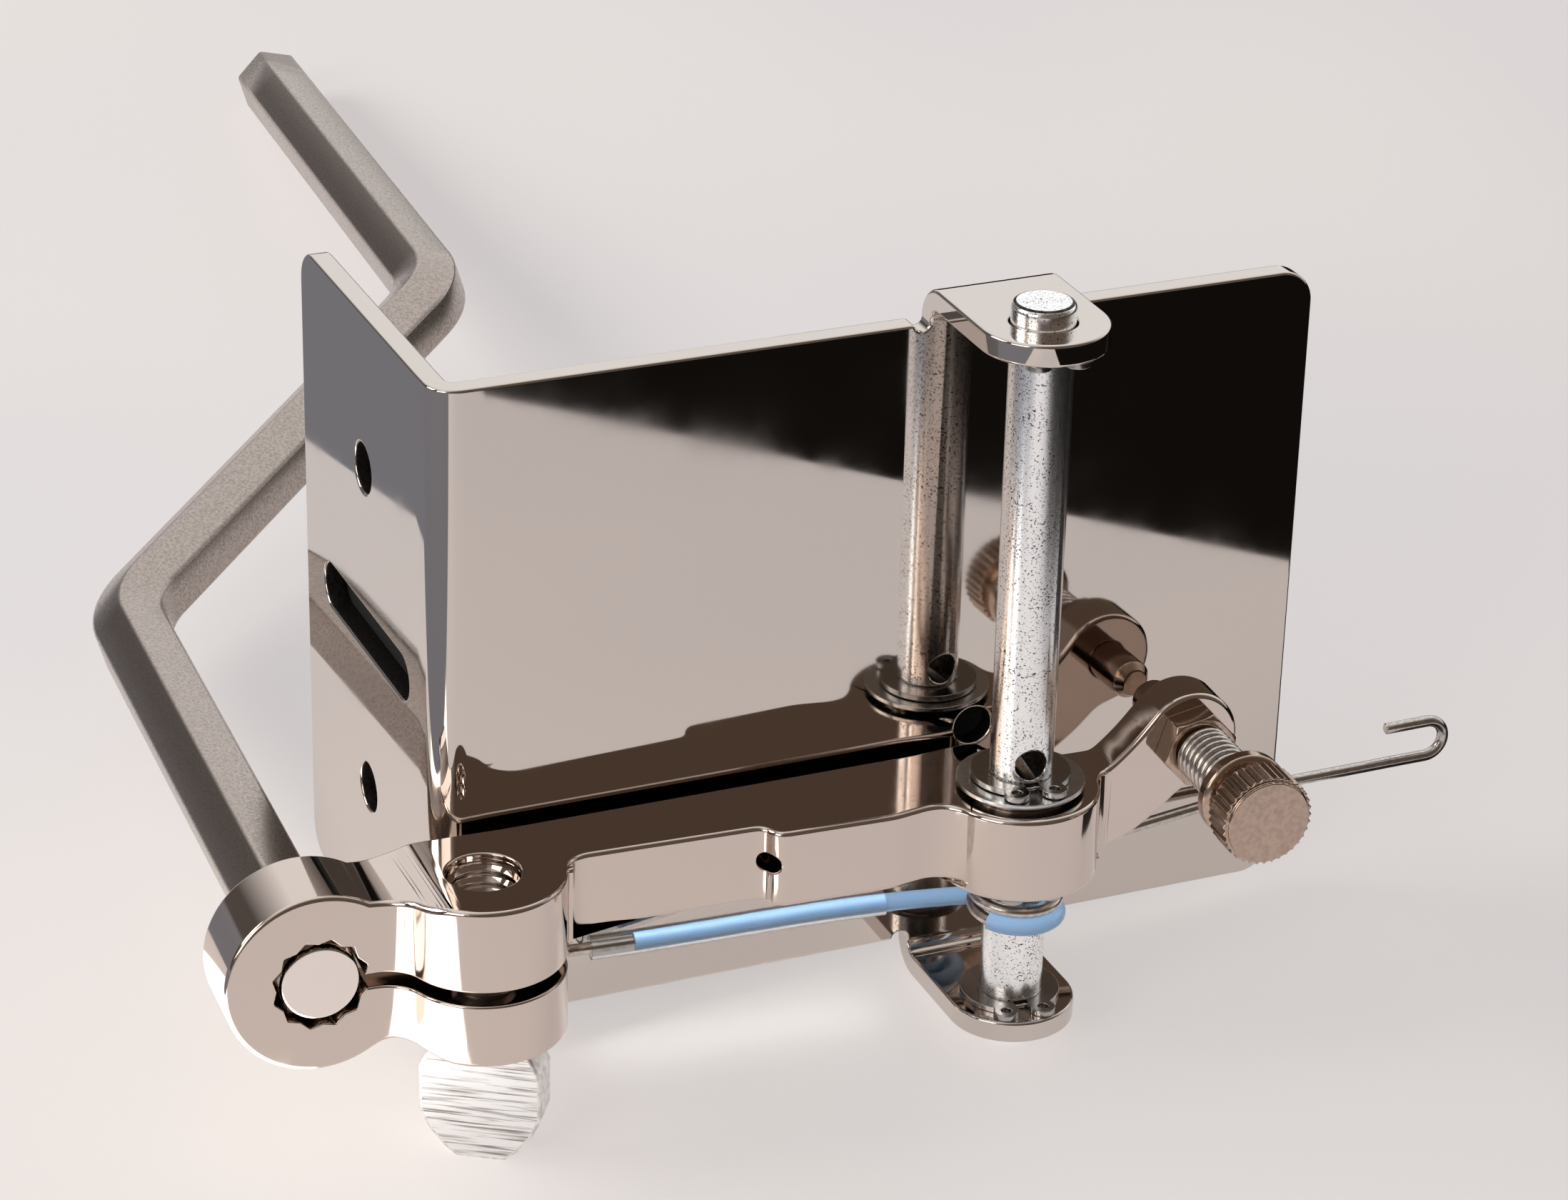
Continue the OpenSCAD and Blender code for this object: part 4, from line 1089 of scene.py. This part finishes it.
# %% Clamp screw
SPADE_TURN, SPADE_HALF, THREAD_PITCH, SHANK_START = math.radians(-30), 2.3, 1.27, 4.8
half = [
    (4.3, 5.2), (4.5, 4.2), (5.3, 2.9), (6.1, 1.2),
    (6.1, -3.6), (5.2, -5.6), (3.6, -7.6), (2.4, -8.6),
]
outline = half + [(-x, z) for x, z in half[::-1]]
spade = prism("clamp_thumb_screw_dressed", outline, -SPADE_HALF, SPADE_HALF, "Y")
spade.data.transform(Matrix.Rotation(SPADE_TURN, 4, "Z"))
soften(spade, 0.35)
profile = thread(SHANK_START, 16.4, 2.75, 3.15, THREAD_PITCH)
profile += [(2.6, 16.9), (2.1, 17.3), (1.3, 17.46)]
carve(spade, [lathe("shank", profile)], "UNION")
spade.data.transform(Matrix.Translation((CLAMP_X, CLAMP_Y, 0)))
shade_flats(spade)
place_piece(spade, "clamp_thumb_screw")
spade.data.materials.append(FINISH["sawn_face"])
facing = Matrix.Rotation(SPADE_TURN, 3, "Z") @ Vector((0, 1, 0))
for face in spade.data.polygons:
    sawn_flat = abs(face.normal.dot(facing)) > 0.98 and face.center.z < SHANK_START
    face.material_index = 1 if sawn_flat else 0
spade.data.transform(LEVER_FRAME)
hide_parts("clamp_thumb_screw")
print("clamp screw:", len(spade.data.polygons), "faces")

# %% [markdown]
# The same thread shows in the clamp's hole above the screw's domed end. A
# ring with the thread on its inside is set into the plain hole of the lever.

# %% Thread of the clamp's hole
HOLE_FROM, HOLE_TO = 13.6, 21.7
wall = thread(HOLE_FROM, HOLE_TO, 3.62, 3.26, THREAD_PITCH)
wall += [(3.7, HOLE_TO), (3.7, HOLE_FROM)]
hole_thread = lathe("clamp_hole_thread", wall, closed=True)
hole_thread.data.transform(LEVER_FRAME @ Matrix.Translation((CLAMP_X, CLAMP_Y, 0)))
place_piece(hole_thread, "hip_lever")
shade_flats(hole_thread)
print("hole thread:", len(hole_thread.data.polygons), "faces")

# %% [markdown]
# Wire and rod are sweeps: one outline carried along a line. Blender's curves
# could do it, but here the outline also changes at the ends, so a short
# function carries it and turns it as little as possible on the way.

# %% Sweeps
def directions(path):
    """The unit direction of a line at each of its points."""
    last = len(path) - 1
    return [(path[min(i + 1, last)] - path[max(i - 1, 0)]).normalized() for i in range(last + 1)]


def carried(path, outline, scales, side):
    """The points of an outline that is carried along a line, in metres."""
    points = []
    for centre, heading, scale in zip(path, directions(path), scales):
        side = (side - heading * side.dot(heading)).normalized()
        up = heading.cross(side)
        points += [(centre + (side * x + up * y) * scale) * MM for x, y in outline]
    return points


def sweep(name, path, outline, scales, side=None):
    """A piece from an outline of (x, y) points in mm along a line in mm."""
    n, last = len(outline), (len(path) - 1) * len(outline)
    side = directions(path)[0].orthogonal().normalized() if side is None else side
    faces = []
    for start in range(0, last, n):
        for j in range(n):
            k = (j + 1) % n
            faces.append([start + j, start + k, start + n + k, start + n + j])
    faces += [list(range(n))[::-1], [last + j for j in range(n)]]
    mesh = bpy.data.meshes.new(name)
    mesh.from_pydata(carried(path, outline, scales, side), [], faces)
    mesh.validate()
    for face in mesh.polygons:
        face.use_smooth = len(face.vertices) == 4
    return new_piece(name, mesh)


def circle(radius, count):
    angles = [2 * math.pi * i / count for i in range(count)]
    return [(radius * math.cos(a), radius * math.sin(a)) for a in angles]


print("a straight line heads", tuple(directions([Vector((0, 0, 0)), Vector((0, 2, 0))])[0]))

# %% [markdown]
# The hip rod is a hexagonal bar, bent cold in two places. Its edges are worn
# round. It could be a bevelled curve. A hexagon with rounded corners that
# runs along the bent line also gets its chamfered ends.

# %% Hip rod: outline and line
ROD_FLATS, ROD_BEND, ROD_BEND_R = 7.94, math.radians(48), 12
ROD_RUNS, ROD_CHAMFER, BEND_STEPS = (82.6, 69.3, 81.1), 1.0, 28


def rounded_hexagon(flats, radius, steps=4):
    corner = (flats / 2 - radius) / math.cos(math.pi / 6)
    points = []
    for i in range(6):
        a = math.radians(60 * i)
        centre = (corner * math.cos(a), corner * math.sin(a))
        for k in range(steps):
            b = a + math.radians(-30 + 60 * k / (steps - 1))
            points.append((centre[0] + radius * math.cos(b), centre[1] + radius * math.sin(b)))
    return points


def rod_line():
    """The rod's middle line, from its clamped end along Y and bent in XY."""
    trim = ROD_BEND_R * math.tan(ROD_BEND / 2)
    l1, l2, l3 = ROD_RUNS
    b2 = Vector((l2 * math.sin(ROD_BEND), l1 + l2 * math.cos(ROD_BEND), 0))
    c1, c2 = Vector((ROD_BEND_R, l1 - trim, 0)), Vector((b2.x - ROD_BEND_R, b2.y + trim, 0))
    line = [Vector((0, y, 0)) for y in (0.55, 0.75, ROD_CHAMFER, 10)]
    for centre, start in ((c1, math.pi), (c2, -ROD_BEND)):
        way = -ROD_BEND if centre is c1 else ROD_BEND
        for i in range(BEND_STEPS + 1):
            a = start + way * i / BEND_STEPS
            line.append(centre + ROD_BEND_R * Vector((math.cos(a), math.sin(a), 0)))
    end = b2.y + l3
    return line + [Vector((b2.x, end - back, 0)) for back in (10, ROD_CHAMFER, 0.3, 0)]


print("rod line:", len(rod_line()), "points")

# %% [markdown]
# The rod is set in the clamp at a roll of 16.5 degrees, one of the positions
# that the star bore allows, and its flats lean by 30 degrees more. Its
# clamped end was polished round with the clamp's face, so it gets a small
# turned cap in the mirror finish.

# %% Hip rod
roll = Matrix.Rotation(-math.radians(STAR_TURN), 3, "Y")
rod_start = Vector((DISC_X, -1.5, DISC_Z))
line = on_lever([roll @ p + rod_start for p in rod_line()])
lean = math.radians(30)
side = roll @ Vector((math.cos(lean), 0, math.sin(lean)))
side = Matrix.Rotation(LEVER_TURN, 3, "Z") @ side
scales = [0.75, 0.9, 1] + [1] * (len(line) - 6) + [1, 0.9, 0.75]
rod = sweep("hip_rod_dressed", line, rounded_hexagon(ROD_FLATS, 0.7), scales, side)
place_piece(rod, "hip_rod")
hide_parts("hip_rod")

cap = lathe("rod_end_face", [(3.5, 0), (3.78, 0.12), (3.86, 0.4), (3.86, 1.0)])
shade_flats(cap)
cap_place = Matrix.Translation((DISC_X, -1.58, DISC_Z))
cap.data.transform(LEVER_FRAME @ cap_place @ Matrix.Rotation(math.radians(-90), 4, "X"))
place_piece(cap, "hip_rod")
cap.data.materials[0] = FINISH["polished_end"]
print("hip rod:", len(rod.data.polygons), "faces")

# %% [markdown]
# The return spring is round wire: a tail in the lever, two turns round the
# shaft and a long leg on the face plate. A blue tube covers its lower turn and
# leg, and a clear one the leg alone. All three follow the same line, so it is
# written once, in pieces: tail, coil and leg. The tail starts where the
# retaining rings leave room, and so the rings' groove is measured first.

# %% Return spring: its line
WIRE, COIL_R, COIL_LOW, COIL_PITCH, COIL_END = 1.2, 4.295, 7.5, 1.65, 810
RING_BAND, RING_ROOM = 2.1, 0.45
TAIL_BEND, LEG_L, LEG_TUBE = 1.3, SHAFT_X - 13, 2.5
ring_points = [v.co for v in frame["nodes"]["lower_ear_ring"].data.vertices]
GROOVE_R = min((co - SHAFT * MM).xy.length for co in ring_points) / MM
TAIL_TURN, TAIL_R = math.radians(30), GROOVE_R + RING_BAND + RING_ROOM + WIRE / 2
COIL_START = TAIL_TURN + math.acos(COIL_R / TAIL_R)


def coil_point(degrees):
    a = math.radians(degrees)
    z = COIL_LOW + COIL_PITCH * (COIL_END - degrees) / 360
    return Vector((COIL_R * math.cos(a), COIL_R * math.sin(a), z))


def tail_line():
    """Down from the lever's hollow and round a small bend into the coil."""
    foot = Vector((TAIL_R * math.cos(TAIL_TURN), TAIL_R * math.sin(TAIL_TURN), 0))
    way = Vector((-math.sin(COIL_START), math.cos(COIL_START), 0))
    high = coil_point(math.degrees(COIL_START)).z
    b = TAIL_BEND
    spots = [(0, LEVER_LOW + 3.5), (0, LEVER_LOW + 1), (0, high + b)]
    spots += [(b * 0.13, high + b * 0.5), (b * 0.5, high + b * 0.13), (b, high)]
    return [foot + way * s + Vector((0, 0, z)) for s, z in spots]


def coil_line(start, step=8):
    """The coil from an angle to its end, a point about every step degrees."""
    count = math.ceil((COIL_END - start) / step)
    return [coil_point(start + (COIL_END - start) * i / count) for i in range(count + 1)]


def leg_line(low, high):
    """The leg between two shares of its length, out to the face plate."""
    start, end = COIL_R, EAR_OUT - LEG_TUBE / 2 - 0.15
    shares = [0.07, 0.15, 0.27, 0.41, 0.55, 0.7, 0.85, 0.95, 1]
    return [
        Vector((
            -s * LEG_L,
            start + (end - start) * s ** 1.15,
            COIL_LOW + 6 * s * (1 - s) ** 2 - 0.5 * s,
        ))
        for s in shares if low <= s <= high
    ]


print("groove radius", round(GROOVE_R, 2), "mm")

# %% [markdown]
# Cut wire has a tiny bevel at its ends. So each wire gets one more ring of
# points beyond either end, a little smaller than the wire.

# %% Return spring: the wire
END_BEVEL, END_SHARE = 0.12, 0.75


def wire_piece(name, node, line, radius, count=20):
    """A dressed wire along a line in mm, in place of a node."""
    scales = [END_SHARE] + [1] * len(line) + [END_SHARE]
    first = line[0] + (line[0] - line[1]).normalized() * END_BEVEL
    last = line[-1] + (line[-1] - line[-2]).normalized() * END_BEVEL
    piece = sweep(name, [first] + line + [last], circle(radius, count), scales)
    place_piece(piece, node)
    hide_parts(node)
    return piece


start = math.degrees(COIL_START)
tail = smooth_path(tail_line()[:-1] + [coil_point(start)], 0.4)[:-1]
leg = smooth_path([coil_point(COIL_END)] + leg_line(0, 1), 1.5)[1:]
line = on_shaft(tail + coil_line(start) + leg)
spring = wire_piece("return_spring_dressed", "return_spring", line, WIRE / 2)
print("return spring:", len(spring.data.polygons), "faces")

# %% [markdown]
# A tube shows its wall where it was cut, so it has an outer and an inner
# skin that are joined at both ends. The blue tube fits close on the wire and
# goes two thirds of a turn round the shaft. The clear one is wider.

# %% Return spring: its sleeves
def tube_piece(name, node, line, outer, inner, count=24):
    """A tube with a wall: an outer and an inner skin, joined at the ends."""
    scales, side = [1] * len(line), directions(line)[0].orthogonal().normalized()
    points = carried(line, circle(outer, count), scales, side)
    points += carried(line, circle(inner, count), scales, side)
    m, last = len(line) * count, (len(line) - 1) * count
    faces = []
    for i in range(len(line) - 1):
        for j in range(count):
            k = (j + 1) % count
            a, b = i * count + j, i * count + k
            c, d = b + count, a + count
            faces += [[a, b, c, d], [m + d, m + c, m + b, m + a]]
    for j in range(count):
        k = (j + 1) % count
        faces.append([j, m + j, m + k, k])
        faces.append([last + j, last + k, m + last + k, m + last + j])
    mesh = bpy.data.meshes.new(name)
    mesh.from_pydata(points, [], faces)
    for face in mesh.polygons:
        face.use_smooth = True
    mesh.set_sharp_from_angle(angle=math.radians(50))
    piece = new_piece(name, mesh)
    place_piece(piece, node)
    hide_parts(node)
    return piece


BLUE_TURN, BLUE_END, BLUE_R, TUBE_ROOM = 240, 0.85, 0.93, 0.03
CLEAR_START, CLEAR_END, CLEAR_BORE_R = 0.27, 0.95, 0.98
leg = smooth_path([coil_point(COIL_END)] + leg_line(0, BLUE_END), 1.5)[1:]
line = on_shaft(coil_line(COIL_END - BLUE_TURN) + leg)
tube_piece("blue_sleeve_dressed", "blue_sleeve", line, BLUE_R, WIRE / 2 + TUBE_ROOM)
line = on_shaft(smooth_path(leg_line(CLEAR_START, CLEAR_END), 1.5))
tube_piece("clear_sleeve_dressed", "clear_sleeve", line, LEG_TUBE / 2, CLEAR_BORE_R)
print("sleeves:", len(line), "points along the clear one")

# %% [markdown]
# The string hook is one wire: a pin up into the lever, a long run along the
# plate, and a half turn at its end that holds the string's ball. It was bent
# round pins, so its line is straight runs with arcs between them.

# %% String hook
HOOK_R, HOOK_LOW, HOOK_END_X = 0.6, 8.1, 112.8
HOOK_BEND, HOOK_RISE, HOOK_MOUTH = 1.8, 2.5, 4.1


def hook_line():
    """The hook's line: its pin, a bend, the run along the plate and the mouth."""
    foot = Matrix.Rotation(LEVER_TURN, 3, "Z") @ Vector((HOOK_PIN_X, HOOK_PIN_Y, 0))
    foot.z = HOOK_LOW
    end = HOOK_END_X - HOOK_R - SHAFT_X - HOOK_PIN_X
    plate_end = PLATE_W - SHAFT_X - HOOK_PIN_X
    r, out, bend, rise = HOOK_MOUTH / 2, EAR_OUT - HOOK_PIN_Y - 1, HOOK_BEND, HOOK_RISE
    line = [Vector((0, 0, z)) for z in (9, 4, bend + 0.6)]
    for k in range(9):
        a = math.radians(11.25 * k)
        line.append(Vector((bend * (1 - math.cos(a)), 0, bend * (1 - math.sin(a)))))
    line += [Vector((t * plate_end, t * out, rise * t)) for t in (0.2, 0.45, 0.7)]
    line += [Vector((plate_end, out, rise * 0.97)), Vector((end - r - 3, out, rise))]
    for k in range(21):
        a = math.radians(-90 + 9 * k)
        line.append(Vector((end - r + r * math.cos(a), out, rise + r + r * math.sin(a))))
    line.append(Vector((end - r - 5, out, rise + 2 * r)))
    return [foot + p for p in line]


hook = wire_piece("string_hook_dressed", "string_hook", on_shaft(hook_line()), HOOK_R)
print("string hook:", len(hook.data.polygons), "faces")

# %% [markdown]
# The stop screw's spring is wound close, in wire of 0.85 mm. It stands
# between the nut and the knob's collar, and it hides most of the thread.

# %% Spring round the stop screw
NUT_FACE, STOP_WIRE, STOP_TURNS, STOP_COIL_R, STOP_L = -2.5, 0.85, 8.4, 2.56, 8.5
STEPS_A_TURN, STOP_AXIS = 28, Vector((STOP_X, 0, STOP_Z))


def stop_spring_line():
    """From the nut to the knob's collar, with its turns a little closer at both ends."""
    count = round(STOP_TURNS * STEPS_A_TURN)
    line = []
    for i in range(count + 1):
        a, t = 2 * math.pi * i / STEPS_A_TURN, i / count
        ease = t * t * (3 - 2 * t)
        depth = STOP_WIRE / 2 + (STOP_L - STOP_WIRE) * (0.85 * t + 0.15 * ease)
        turn = Vector((STOP_COIL_R * math.cos(a), NUT_FACE - depth, STOP_COIL_R * math.sin(a)))
        line.append(STOP_AXIS + turn)
    return line


line = on_lever(stop_spring_line())
wire_piece("stop_spring_dressed", "stop_spring", line, STOP_WIRE / 2, 14)
low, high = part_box("stop_spring")
print("stop spring:", round((high - low).y / MM, 1), "mm from front to back")
